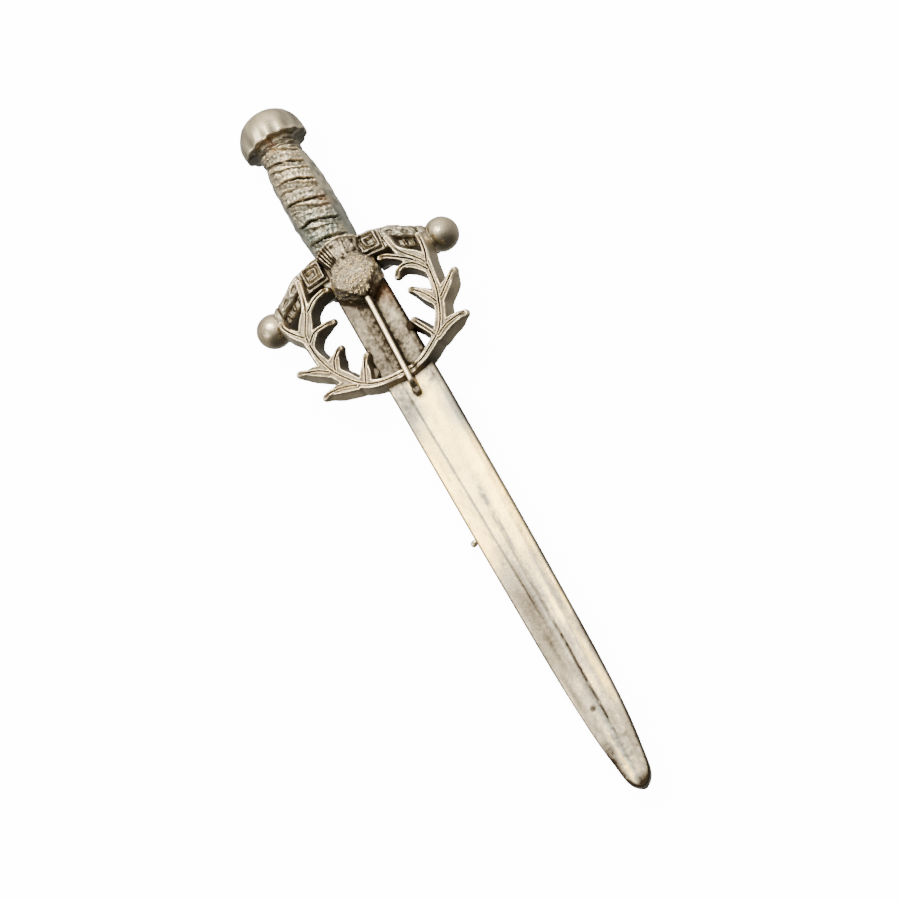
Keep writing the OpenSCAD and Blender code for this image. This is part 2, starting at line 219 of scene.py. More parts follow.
def mixed(base, part, valueAt):
    # between the values at the eight corners of a cell
    total = 0
    for i, j, k in product((0, 1), repeat=3):
        weight = abs(1 - i - part[..., 0]) * abs(1 - j - part[..., 1]) * abs(1 - k - part[..., 2])
        total = total + weight * valueAt(base[..., 0] + i, base[..., 1] + j, base[..., 2] + k)
    return total


def sampled(volume, low, step, points):
    at = (points - np.asarray(low)) / np.asarray(step)
    base = np.clip(np.floor(at).astype(int), 0, np.array(volume.shape) - 2)
    return mixed(base, np.clip(at - base, 0, 1), lambda *cell: volume[cell])


def netOf(field, low, step):
    # closed quad mesh where the field changes sign, negative inside
    inside = field < 0
    shape = np.array(field.shape) - 1
    count = np.zeros(shape, np.int8)
    for i, j, k in product((0, 1), repeat=3):
        count += inside[i:shape[0] + i, j:shape[1] + j, k:shape[2] + k]
    live = (count > 0) & (count < 8)
    where = np.argwhere(live)
    number = np.full(shape, -1, np.int32)
    number[live] = np.arange(len(where))
    total, hits = np.zeros((len(where), 3)), np.zeros(len(where))
    for axis, i, j in product(range(3), (0, 1), (0, 1)):
        start = where.copy()
        start[:, [a for a in range(3) if a != axis]] += (i, j)
        end = start.copy()
        end[:, axis] += 1
        a, b = field[tuple(start.T)], field[tuple(end.T)]
        cross = (a < 0) != (b < 0)
        place = start.astype(float)
        place[:, axis] += np.where(cross, a / np.where(cross, a - b, 1), 0)
        total[cross] += place[cross]
        hits += cross
    points = total / hits[:, None] * np.asarray(step) + np.asarray(low)
    quads = []
    for axis in range(3):
        u, v = (axis + 1) % 3, (axis + 2) % 3
        a, b = (np.take(inside, range(first, shape[axis] + first), axis=axis) for first in (0, 1))
        for change, flip in ((a & ~b, False), (~a & b, True)):
            at = np.argwhere(change)
            at = at[(at[:, u] > 0) & (at[:, v] > 0) & (at[:, u] < shape[u]) & (at[:, v] < shape[v])]
            ring = []
            for du, dv in ((-1, -1), (0, -1), (0, 0), (-1, 0)):
                cell = at.copy()
                cell[:, [u, v]] += (du, dv)
                ring.append(number[tuple(cell.T)])
            ring = np.stack(ring, axis=1)
            quads.append(ring[:, ::-1] if flip else ring)
    return points, np.concatenate(quads)


def fieldPiece(name, field, low, step, material, extra=None, hollow=(0.3, 0.9), walls=0.5, base=0.1):
    # meshes a field, and darkens its hollows (patina and painted shade) and its steep walls (painted shade)
    field = np.pad(field, 1, constant_values=1.0)
    low = np.asarray(low) - np.asarray(step)
    points, quads = netOf(field, low, step)
    solid = (field < 0).astype(np.float32)
    tarnish = np.full(len(points), base)
    for reach, amount in zip(hollow, (1.5, 1.3)):
        soft = blurred(solid, [max(1, round(reach / s / 1.6)) for s in step])
        tarnish += amount * (sampled(soft, low, step, points) - 0.5)
    slope = [sampled(g, low, step, points) for g in np.gradient(blurred(field, (1, 1, 1), 1), *step)]
    up = slope[2] / np.sqrt(slope[0] ** 2 + slope[1] ** 2 + slope[2] ** 2 + 1e-9)
    # painted shade on the steep walls, by their slope
    tarnish += walls * np.clip(0.75 - up, 0, 1)
    layers = {"tarnish": tarnish}
    if extra:
        extra(points, layers, up)
    layers["tarnish"] = np.clip(layers["tarnish"], 0, 1)
    return meshOf(name, points, quads, material, layers)


def lumps(points, size, seed):
    # smooth random heights, -1 to 1, with humps about one size across
    table = np.random.default_rng(seed).random((32, 32, 32))
    at = np.asarray(points) / size
    base = np.floor(at).astype(int)
    part = at - base
    part = part * part * (3 - 2 * part)
    return mixed(base, part, lambda i, j, k: table[i % 32, j % 32, k % 32]) * 2 - 1


def lumpsOver(x, y, size, seed):
    return lumps(joined(x, y, 0 * x), size, seed)


def blendMax(a, b, r):
    # the greater of the two, with its corner rounded over a width r
    h = np.clip(0.5 + 0.5 * (a - b) / r, 0, 1)
    return b + (a - b) * h + r * h * (1 - h)


def blendMin(a, b, r):
    return -blendMax(-a, -b, r)


def risesFrom(value, start, width):
    # 0 up to the start, 1 from one width past it
    return np.clip((value - start) / width, 0, 1)


def fallsTo(value, end, width):
    # 1 up to one width before the end, 0 past it
    return np.clip((end - value) / width, 0, 1)


def ridge(distance, width):
    return np.exp(-(distance / width) ** 2)


def spot(x, y, size):
    return ridge(np.hypot(x, y), size)


def throughPoints(rows, between=7):
    # smooth curve through rows of numbers
    rows = np.asarray(rows, float)
    ends = np.vstack([2 * rows[0] - rows[1], rows, 2 * rows[-1] - rows[-2]])
    out = []
    for i in range(len(rows) - 1):
        a, b, c, d = ends[i:i + 4]
        for t in np.arange(between) / between:
            bend, twist = 2 * a - 5 * b + 4 * c - d, 3 * b - a - 3 * c + d
            out.append(0.5 * (2 * b + (c - a) * t + bend * t ** 2 + twist * t ** 3))
    out.append(rows[-1])
    return np.array(out)


def fromTop(s):
    return sword["length"] / 2 - s


def bow(s):
    # how far the casting bends to the right down its length
    return np.interp(s, [5, 20, 44, 66, 90, 98, 102], [0, 0.2, 0.3, 0.27, 0.18, 0.08, 0.02])


def slid(plane, by):
    # the plane moved along its first axis by a number of cells
    whole = int(by)
    longer = np.concatenate([np.repeat(plane[:1], whole + 1, 0), plane])
    return longer[1:len(plane) + 1] * (1 - by + whole) + longer[:len(plane)] * (by - whole)


def strandDistance(x, y, path):
    # least distance to a tapered path's edge and to its middle line, and the place along the path, 0 to 1
    edge = np.full(np.broadcast(x, y).shape, farAway, np.float32)
    middle = edge.copy()
    along = np.zeros_like(edge)
    pieces = len(path) - 1
    for i in range(pieces):
        (ax, ay, ar), (bx, by, br) = path[i], path[i + 1]
        length = (bx - ax) ** 2 + (by - ay) ** 2 + 1e-12
        t = np.clip(((x - ax) * (bx - ax) + (y - ay) * (by - ay)) / length, 0, 1)
        d = np.sqrt((x - ax - t * (bx - ax)) ** 2 + (y - ay - t * (by - ay)) ** 2)
        e = d - (ar + t * (br - ar))
        near = e < edge
        edge = np.where(near, e, edge)
        along = np.where(near, (i + t) / pieces, along)
        middle = np.minimum(middle, d)
    return edge, middle, along


# Wreath

# Each row holds a place across, as a share of the half spread, a place down from the upper tips, as a share
# of the length, and a half width, as a share of the half spread. Low strands lie under the leaves.
wreathLook = {
    "spread": 23.4, "length": 18.0, "top": 22.1, "thick": 2.25, "draft": 0.17, "slant": 0.17, "rim": 0.2,
    "rimIn": 0.13, "vein": 0.3, "veinGap": 0.16, "groove": 0.14, "webs": 0.28, "thinTips": 0.6, "fuller": 1.1,
    "leastWidth": 0.034, "lowTop": 0.8, "archThick": 4.2, "archReach": 6.4, "archEnd": 26.4,
    "space": ((-12.0, 12.0), (22.0, 41.3)), "step": (0.08, 0.08, 0.17), "edgeRound": 0.24, "tipDroop": 0.35,
    "bare": 0.37, "lineTone": 0.42,
    "left": [
        [[0.065, 0.995, 0.038], [0.235, 0.98, 0.04], [0.365, 0.95, 0.045], [0.48, 0.895, 0.05],
         [0.56, 0.83, 0.065], [0.65, 0.735, 0.06], [0.7, 0.64, 0.055], [0.73, 0.545, 0.042],
         [0.73, 0.455, 0.045], [0.715, 0.39, 0.065], [0.655, 0.32, 0.07], [0.59, 0.24, 0.045],
         [0.55, 0.15, 0.03], [0.515, 0.025, 0.016]],
        [[0.585, 0.26, 0.036], [0.46, 0.205, 0.036], [0.35, 0.185, 0.024], [0.3, 0.18, 0.014]],
        [[0.74, 0.41, 0.05], [0.825, 0.345, 0.045], [0.88, 0.28, 0.025], [0.885, 0.225, 0.012]],
        [[0.72, 0.465, 0.05], [0.63, 0.415, 0.04], [0.525, 0.405, 0.023], [0.405, 0.405, 0.016]],
        [[0.7, 0.715, 0.057], [0.8, 0.665, 0.057], [0.9, 0.64, 0.033], [0.985, 0.61, 0.016]],
        [[0.63, 0.73, 0.05], [0.595, 0.67, 0.057], [0.535, 0.63, 0.028], [0.475, 0.6, 0.018]],
        [[0.51, 0.905, 0.05], [0.63, 0.87, 0.06], [0.76, 0.855, 0.04], [0.865, 0.855, 0.016]],
        [[0.42, 0.93, 0.04], [0.385, 0.88, 0.06], [0.33, 0.805, 0.036], [0.27, 0.74, 0.014]]],
    "right": [
        [[0.065, 1, 0.038], [0.21, 0.985, 0.04], [0.335, 0.945, 0.045], [0.45, 0.9, 0.045],
         [0.545, 0.85, 0.06], [0.625, 0.765, 0.055], [0.675, 0.685, 0.055], [0.72, 0.6, 0.05],
         [0.745, 0.51, 0.045], [0.76, 0.395, 0.05], [0.7, 0.32, 0.07], [0.615, 0.25, 0.05],
         [0.555, 0.18, 0.035], [0.525, 0.075, 0.016]],
        [[0.66, 0.325, 0.04], [0.6, 0.285, 0.04], [0.505, 0.235, 0.03], [0.43, 0.2, 0.022],
         [0.365, 0.18, 0.012]],
        [[0.77, 0.39, 0.04], [0.81, 0.32, 0.036], [0.83, 0.245, 0.024], [0.83, 0.175, 0.012]],
        [[0.745, 0.44, 0.04], [0.665, 0.36, 0.05], [0.57, 0.325, 0.04], [0.485, 0.33, 0.02],
         [0.425, 0.36, 0.018]],
        [[0.72, 0.66, 0.05], [0.83, 0.605, 0.05], [0.91, 0.565, 0.033], [0.97, 0.53, 0.016]],
        [[0.655, 0.675, 0.045], [0.605, 0.6, 0.058], [0.545, 0.545, 0.04], [0.475, 0.495, 0.02]],
        [[0.495, 0.895, 0.05], [0.625, 0.855, 0.055], [0.75, 0.845, 0.045], [0.84, 0.845, 0.038]],
        [[0.465, 0.877, 0.028], [0.442, 0.837, 0.03], [0.41, 0.793, 0.028], [0.372, 0.745, 0.02],
         [0.342, 0.697, 0.014]]],
    "low": [
        [[0.38, 0.76, 0.02], [0.325, 0.705, 0.032], [0.28, 0.71, 0.03]],
        [[-0.35, 0.9, 0.03], [-0.3, 0.87, 0.03]]]}


def wreathPaths(sides):
    w = wreathLook
    paths = []
    for side, rows in sides:
        for row in rows:
            path = throughPoints(row)
            paths.append([(side * a * w["spread"] / 2, fromTop(w["top"] + b * w["length"]),
                           max(c * w["fuller"], w["leastWidth"]) * w["spread"] / 2) for a, b, c in path])
    return paths


def wreathPlan(x, y):
    # seen from above: distance to the leaves' edges, their veins, grooves and drooping tips, and how far along
    w = wreathLook
    edge = np.full(np.broadcast(x, y).shape, farAway, np.float32)
    vein, groove, droop, ends = (np.zeros_like(edge) for _ in range(4))
    closest = edge.copy()
    paths = wreathPaths(((-1, w["left"]), (1, w["right"])))
    branches = [paths[0], paths[len(w["left"])]]
    for path in paths + [[branch[0] for branch in branches]]:
        e, middle, along = strandDistance(x, y, path)
        isLeaf = path not in branches
        full = risesFrom(middle - e, 0.2, 0.25) * np.clip((1 - along) * 6, 0, 1) * (e < 0.05)
        droop = np.maximum(droop, risesFrom(along, 0.8, 0.2) ** 2 * (e < 0.3))
        ends = np.where(e < closest, risesFrom(along, 0.4, 0.6) ** 1.5 * isLeaf, ends)
        closest = np.minimum(closest, e)
        vein = np.maximum(vein, full * ridge(middle - w["veinGap"], 0.085))
        groove = np.maximum(groove, full * ridge(middle, 0.1))
        edge = blendMin(edge, e, w["webs"])
    return edge, vein, groove, droop, ends


def makeWreath(material):
    w = wreathLook
    height = (sword["leafTop"] - w["archThick"] - 0.15, sword["leafTop"] + 0.25)
    low, high = boxOf(*w["space"], height)
    x, y, z = cells(low, high, w["step"])
    x2, y2 = x[:, :, 0], y[:, :, 0]
    edge, vein, groove, droop, ends = wreathPlan(x2, y2)
    rim = ridge(edge + w["rimIn"], 0.1)
    top = sword["leafTop"] - 0.12 + w["rim"] * rim + w["vein"] * vein - w["groove"] * groove
    top = top + 0.03 * lumpsOver(x2, y2, 0.9, 3) - w["tipDroop"] * blurred(droop, (2, 2))
    # the walls lean towards +X as they go down; the tips are thin, and the arch by the guard is thick
    slices = np.repeat(edge[:, :, None], z.shape[2], axis=2)
    allowed = w["thick"] * (1 - w["thinTips"] * blurred(ends, (4, 4)))
    arch = fallsTo(np.abs(x2), w["archReach"], 0.8) * risesFrom(y2, fromTop(w["archEnd"]), 0.8)
    floor = w["thick"] + (w["archThick"] - w["thick"]) * arch
    allowed = allowed + (floor - allowed) * arch
    under = np.minimum.reduce([strandDistance(x2, y2, path)[0] for path in wreathPaths(((1, w["low"]),))])
    for k in range(z.shape[2]):
        deep = max(0.0, min(sword["leafTop"] - float(z[0, 0, k]), w["archThick"]))
        shape = edge + 0.9 * np.clip(deep - allowed, 0, farAway)
        if deep > w["lowTop"]:
            shape = np.minimum(shape, under)
        most = min(deep, w["thick"]) * w["slant"] / w["step"][0]
        slices[:, :, k] = np.minimum.reduce([slid(shape, most * part) for part in (0.55, 0.7, 0.85, 1.0)])
    wall = slices - np.minimum(top[:, :, None] - z, w["thick"]) * w["draft"] - 0.02
    field = blendMax(wall, z - top[:, :, None], w["edgeRound"])
    field = np.maximum(field, (sword["leafTop"] - floor)[:, :, None] - z)

    # worn bright on the rims and veins, dark in the grooves
    lines = w["bare"] - w["lineTone"] * rim - w["lineTone"] * vein + w["lineTone"] * groove
    lines = lines + 0.13 * lumpsOver(x2, y2, 1.3, 7) + 0.2 * ridge(edge + 0.4, 0.12)
    lines = lines - 0.2 * risesFrom(-edge, 0.75, 0.4)
    lines = np.repeat(lines[:, :, None], 2, axis=2)

    def stain(points, layers, up):
        x, y, z = points.T
        s = fromTop(y)
        inward = np.clip(1.15 - np.hypot(x, y - fromTop(30.5)) / 9.5, 0, 1)
        drawn = sampled(lines, low, w["step"], joined(x, y, low[2]))
        flat = risesFrom(up, 0.35, 0.4) * (z > sword["leafTop"] - 0.75)
        # painted shade: the walls are darkest inside the ring and where it crosses the blade
        shaded = ridge(x - 3.0, 1.7) * risesFrom(s, 37.3, 0.8) + 2 * spot(x - 3.8, s - 35.3, 0.9)
        wallShade = 0.28 + 0.5 * np.clip(inward * 2.5, 0, 1) + 0.45 * np.clip(shaded, 0, 1)
        face = drawn + 0.4 * (layers["tarnish"] - 0.1)
        layers["tarnish"] = np.where(up > -0.2, flat * face + (1 - flat) * wallShade, 0.5)
        layers["grey"] = np.clip(0.15 + 0.3 * lumps(points, 4.0, 5), 0, 0.4)
    return fieldPiece("wreath_cast", field, low, w["step"], material, stain, (0.22, 0.75), 1.1, 0.1)


# Guard

# A station holds a place out along the arm, and the shares of its drop, of its lost height and of its width.
guardLook = {
    "space": ((-14.3, 14.7), (20.4, 28.2), (-0.05, 6.5)), "step": (0.09, 0.09, 0.09), "ballSpan": 23.7,
    "ball": 4.45, "ballsAside": 0.22, "ballsOut": 0.06, "ballsTilt": 0.012, "hubWidth": 7.0, "hubTop": 21.0,
    "hubLength": 5.0, "hubStep": 0.75, "hubStepAt": 1.7, "armWidth": 2.75, "armThick": 4.2, "armTop": 21.15,
    "armIn": 3.29, "armEnds": (2.45, 10.9), "drop": 2.9, "draft": 0.1, "inset": 0.28, "flare": 0.42,
    "flareDeep": 2.6, "lowest": 0.19, "strapAt": 10.35, "strapHalf": 0.42,
    "stations": [
        [0, 0, 0, 1], [0.3, 0.14, 0.07, 0.98], [0.58, 0.545, 0.18, 0.97], [0.86, 1, 0.36, 0.92],
        [1.1, 1.2, 0.45, 0.9]]}


def keyMark(a, b):
    # square bracket in a -1 to 1 square
    path = [(0.42, 0.45), (-0.35, 0.45), (-0.35, -0.42), (0.42, -0.42)]
    best = farAway
    for (ax, ay), (bx, by) in zip(path, path[1:]):
        t = np.clip(((a - ax) * (bx - ax) + (b - ay) * (by - ay)) / ((bx - ax) ** 2 + (by - ay) ** 2), 0, 1)
        best = np.minimum(best, np.hypot(a - ax - t * (bx - ax), b - ay - t * (by - ay)))
    return best


def knotMark(a, b):
    # two loops side by side
    one = np.abs(np.hypot(a + 0.42, b * 0.8) - 0.42)
    two = np.abs(np.hypot(a - 0.42, b * 0.8) - 0.42)
    return np.minimum(one, two)


def barMark(a, b):
    # short upright bars side by side
    return np.abs((a * 1.5 + 0.5) % 1 - 0.5) * 1.2


# centre, half length, start and end across the arm, mark, height of the rim, depth of the field
panels = ((3.95, 1.25, 0.04, 0.92, keyMark, 0.3, 0.42),
          (7.8, 1.95, 0.02, 0.6, knotMark, 0.22, 0.2),
          (7.9, 1.5, 0.68, 0.98, barMark, -0.12, 0.5))


def armRelief(x, y, across, span):
    # raised panels with borders and marks, dark gutters round them, and a strap before the ball
    away = np.abs(x)
    relief = 0 * across - 0.15 + 0.05 * lumpsOver(x, y, 0.8, 12)
    grain, bend, wobble = (lumpsOver(x, y, size, seed) for size, seed in ((0.4, 11), (0.9, 15), (0.8, 16)))
    for centre, half, start, end, mark, tall, sunk in panels:
        a = (away - centre) / half + 0.07 * bend
        reach = span * (end - start) / 2
        b = (across - span * (start + end) / 2) / reach + 0.08 * wobble
        inside = blendMax((np.abs(a) - 1) * half, (np.abs(b) - 1) * reach, 0.3)
        border = risesFrom(inside, -0.36, 0.16) * (tall > 0)
        lines = fallsTo(mark(a, b), 0.26, 0.2)
        shape = tall - sunk + sunk * np.maximum(border, lines) + 0.08 * grain
        gutter = -0.26 * ridge(inside - 0.2, 0.15)
        relief = np.where(inside < 0.03, shape, relief + gutter)
    strap = np.abs(away - guardLook["strapAt"]) - guardLook["strapHalf"]
    relief = np.where(strap < 0, 0.1 + 0.08 * grain, relief - 0.2 * ridge(strap - 0.1, 0.12) * (away > 9.5))
    return relief, bend


def makeGuard(material):
    g = guardLook
    low, high = boxOf(*g["space"])
    x, y, z = cells(low, high, g["step"])
    x2, y2 = x[:, :, 0], y[:, :, 0]
    away = np.abs(x2)
    share = (away - g["armIn"]) / (g["ballSpan"] / 2 - g["armIn"])
    rows = throughPoints(g["stations"])
    drop, lost, wide = (np.interp(share, rows[:, 0], rows[:, k]) for k in (1, 2, 3))
    upper = fromTop(g["armTop"] + drop * g["drop"])
    face = sword["guardFront"] - lost * g["armThick"]
    under = np.maximum(sword["guardBack"] - lost * g["armThick"] * 0.6, g["lowest"])
    # across the arm, from its upper edge
    edgeTilt = np.sqrt(1 + (np.gradient(upper[:, 0], g["step"][0])[:, None]) ** 2)
    across = (upper - y2) / edgeTilt
    span = g["armWidth"] * wide / edgeTilt
    relief, bend = armRelief(x2, y2, across, span)
    top = face + relief
    wallUp = -across[:, :, None] - (top[:, :, None] - z) * g["draft"] - g["inset"] - 0.1 * bend[:, :, None]
    flare = g["flare"] * (1 - 0.75 * risesFrom(share, 0.5, 0.35))
    deep = np.clip(face[:, :, None] - z, 0, g["flareDeep"])
    wallDown = (across - span)[:, :, None] - deep * flare[:, :, None]
    field = blendMax(wallUp, wallDown, 0.3)
    field = blendMax(field, z - top[:, :, None], 0.22)
    field = blendMax(field, under[:, :, None] - z, 0.4)
    field = blendMax(field, (away - g["armEnds"][1])[:, :, None], 0.3)
    field = np.where(away[:, :, None] < g["armEnds"][0], farAway, field)
    # middle block behind the thistle
    top = sword["guardFront"] - g["hubStep"] * risesFrom(np.abs(x), g["hubStepAt"], 0.3)
    blockY = fromTop(g["hubTop"] + g["hubLength"] / 2)
    block = blendMax(np.abs(x) - g["hubWidth"] / 2, np.abs(y - blockY) - (g["hubLength"] / 2 - 0.08), 0.5)
    block = blendMax(block, np.maximum(z - top, sword["guardBack"] - z), 0.3)
    field = blendMin(field, block, 0.25)
    # ball ends
    r = g["ball"] / 2
    centreY = fromTop(g["armTop"] + g["drop"] + g["armWidth"] * 0.4)

    def toBalls(x, y, z):
        # distance from the surface of the nearer ball; they sit a little aside, and the right one lower
        outward = np.abs(x - g["ballsAside"]) - g["ballSpan"] / 2 - g["ballsOut"]
        upward = y - centreY + g["ballsTilt"] * x
        return np.sqrt(outward ** 2 + upward ** 2 + (z - r) ** 2) - r

    field = blendMin(field, toBalls(x, y, z) - 0.025 * lumps(joined(x, y, z), 1.1, 17), 0.12)

    def stain(points, layers, up):
        x, y, z = points.T
        away, s = np.abs(x), fromTop(y)
        # painted shade: the balls darker on their lower halves
        lowerShade = fallsTo(y, centreY + 0.5, 2.4)
        balls = 0.19 + 0.27 * lowerShade + 0.12 * lumps(points, 1.3, 14)
        base = np.where(toBalls(x, y, z) < 0.03, balls, np.clip(layers["tarnish"], 0.42, 0.66))
        # painted shade on the guard beside the thistle's bulb
        shadeByBulb = np.maximum(fallsTo(away, 2.9, 0.3), fallsTo(away, 3.9, 0.3) * risesFrom(s, 23.4, 0.5))
        layers["tarnish"] = base + 0.2 * shadeByBulb
        layers["grey"] = np.clip(0.1 + 0.3 * lumps(points, 5.0, 6), 0, 0.4)
    return fieldPiece("guard_cast", field, low, g["step"], material, stain, (0.28, 0.9), 0.68, 0.36)


# Thistle

# aside, bulbHalf and bulbRise give values at places down the sword, and reach gives heights over the blade.
# Grains are sized in millimetres and counted to the square millimetre.
thistleLook = {
    "space": ((-3.7, 3.7), (20.5, 44.0)), "reach": (-0.5, 4.2), "step": (0.07, 0.07, 0.07), "top": 20.7,
    "neck": 24.5, "tuftWidth": 6.3, "neckWidth": 3.7, "rise": 3.8, "crownDip": 0.95, "flutes": 13,
    "fluteRise": 0.2, "bulbTop": 23.6, "bulbEnd": 29.7, "frontFall": 0.75, "frontHalf": 3.0, "crust": 0.17,
    "stemEnd": 42.8, "stemRise": 2.0, "stemFall": 1.2, "stemHalf": 0.28, "footRadius": 0.6, "footRise": 1.0,
    "aside": [[22.5, 24.5, 30, 43], [0.3, 0.48, 0.55, 0.1]],
    "bulbHalf": [
        [23.4, 24.3, 25.2, 26.4, 27.3, 28.1, 28.8, 29.3], [1.8, 2.2, 2.75, 2.92, 2.45, 1.65, 0.8, 0.05]],
    "bulbRise": [[23.4, 24.5, 25.5, 26.5, 27.8, 29.3], [2.45, 3.2, 3.68, 3.84, 3.58, 2.65]],
    "grainSize": 0.15, "grainLength": 1.9, "grainDensity": 7.5, "grainSeed": 4}


def bulbShape(s):
    # half width of the bulb's front, and its height over the blade
    return np.interp(s, *thistleLook["bulbHalf"]), np.interp(s, *thistleLook["bulbRise"])


def bulbFront(x, rise):
    return rise - thistleLook["frontFall"] * (np.abs(x) / thistleLook["frontHalf"]) ** 2.2


def tuftShape(x, s):
    # how far down the tuft, and how far across it from -1 to 1
    t = thistleLook
    u = np.clip((s - t["top"]) / (t["neck"] - t["top"]), 0, 1.15)
    half = t["tuftWidth"] / 2 + (t["neckWidth"] - t["tuftWidth"]) / 2 * u ** 0.8
    return u, half, x / half


def makeThistle(material):
    t = thistleLook
    low, high = boxOf(*t["space"], [sword["faceHeight"] + rise for rise in t["reach"]])
    x, y, z = cells(low, high, t["step"])
    s = fromTop(y)
    up = z - sword["faceHeight"]
    grid = joined(x, y, z)
    x = x - np.interp(s, *t["aside"])
    rough = lumps(grid, 0.45, 21) * 0.07 + lumps(grid, 0.24, 22) * 0.035
    # tuft: a fan that widens upwards, its flutes worn away towards the right
    u, half, v = tuftShape(x, s)
    crown = t["top"] + t["crownDip"] * (x / (t["tuftWidth"] / 2)) ** 2
    flute = t["fluteRise"] * np.cos(v * math.pi * t["flutes"]) * np.clip(-0.2 - v * 1.5, 0.1, 1)
    flute = flute * np.clip(1.25 - u, 0, 1)
    top = t["rise"] * (0.75 - 0.1 * u - 0.24 * v * v) + flute + 0.16 * ridge(s - crown - 0.15, 0.2)
    tuft = blendMax(np.abs(x) - half - (top - up) * 0.06, (crown - s) - (top - up) * 0.1, 0.2)
    tuft = blendMax(tuft, s - t["neck"] - 1.2, 0.2)
    tuft = blendMax(tuft, up - top, 0.2)
    # bulb: a shield-shaped front on steep sides
    half, rise = bulbShape(s)
    top = bulbFront(x, rise)
    bulb = blendMax((np.abs(x) - half) * 0.8 - (top - up) * 0.13, up - top, 0.5)
    bulb = blendMax(bulb, t["bulbTop"] - s, 0.3)
    bulb = blendMax(bulb, (s - t["bulbEnd"] + 0.55) - (top - up) * 0.3, 0.3)
    crust = t["crust"] * lumps(grid, 0.5, 24) * risesFrom(top - up, 0.45, 0.5)
    field = blendMin(tuft, bulb + crust, 0.6) + rough
    # stem and its foot
    rise = t["stemRise"] - t["stemFall"] * risesFrom(s, t["stemEnd"] - 1.3, 1.1) ** 2
    half = t["stemHalf"] + (rise - up) * 0.14
    stem = blendMax(np.abs(x) - half, up - rise, 0.25)
    stem = np.maximum(stem, np.maximum(s - t["stemEnd"], t["bulbEnd"] - 1.6 - s))
    foot = np.sqrt(x ** 2 + (s - t["stemEnd"] + 0.1) ** 2) - (t["footRadius"] - up * 0.1) + rough * 2
    foot = blendMax(foot, up - t["footRise"], 0.25)
    field = blendMin(field, blendMin(stem, foot, 0.25), 0.12)
    field = np.maximum(field, -0.4 - up)

    def stain(points, layers, upward):
        x, y, z = points.T
        s = fromTop(y)
        layers["rust"] = 0.35 * spot(x - 2.7, s - 29.2, 1.2)
        onFace = (s > 24.2) * (s < 29.3) * risesFrom(z - sword["faceHeight"] - bulbShape(s)[1], -1.1, 0.4)
        onSide = (s > 24.5) * (s < 30) * (1 - onFace)
        onTuft = fallsTo(s, 24.2, 0.5) * (z > 6.6)
        onStem = risesFrom(s, 29.6, 0.4) * fallsTo(s, 41.6, 0.6)
        speck = np.clip(lumps(points, 0.32, 23) * 2.0 - 0.2, 0, 1)
        pits = np.clip(lumps(points, 0.34, 25) * 2.2 - 0.5, 0, 1)
        across = x - np.interp(s, *t["aside"])
        v = tuftShape(across, s)[2]
        rows = np.clip(-np.cos(v * math.pi * t["flutes"]) * 1.3 - 0.2, 0, 1) * np.clip((-0.3 - v) * 5, 0, 1)
        # painted shade: the stem darker along its flanks
        stemFlankShade = np.clip(np.abs(across) / 0.3 - 0.5, 0, 1)
        tarnish = layers["tarnish"] + onStem * (0.16 + 0.5 * stemFlankShade + 0.25 * (speck - 0.3))
        tarnish = tarnish + 0.45 * onFace + onTuft * (0.35 + 0.5 * speck + 0.6 * rows)
        tarnish = tarnish - 0.5 * onSide * pits
        layers["tarnish"] = np.maximum(tarnish, 0.72 * risesFrom(s, 41.5, 0.5) + 0.15 * speck)
    return fieldPiece("thistle_cast", field, low, t["step"], material, stain, (0.2, 0.8), 0.78, 0.14)


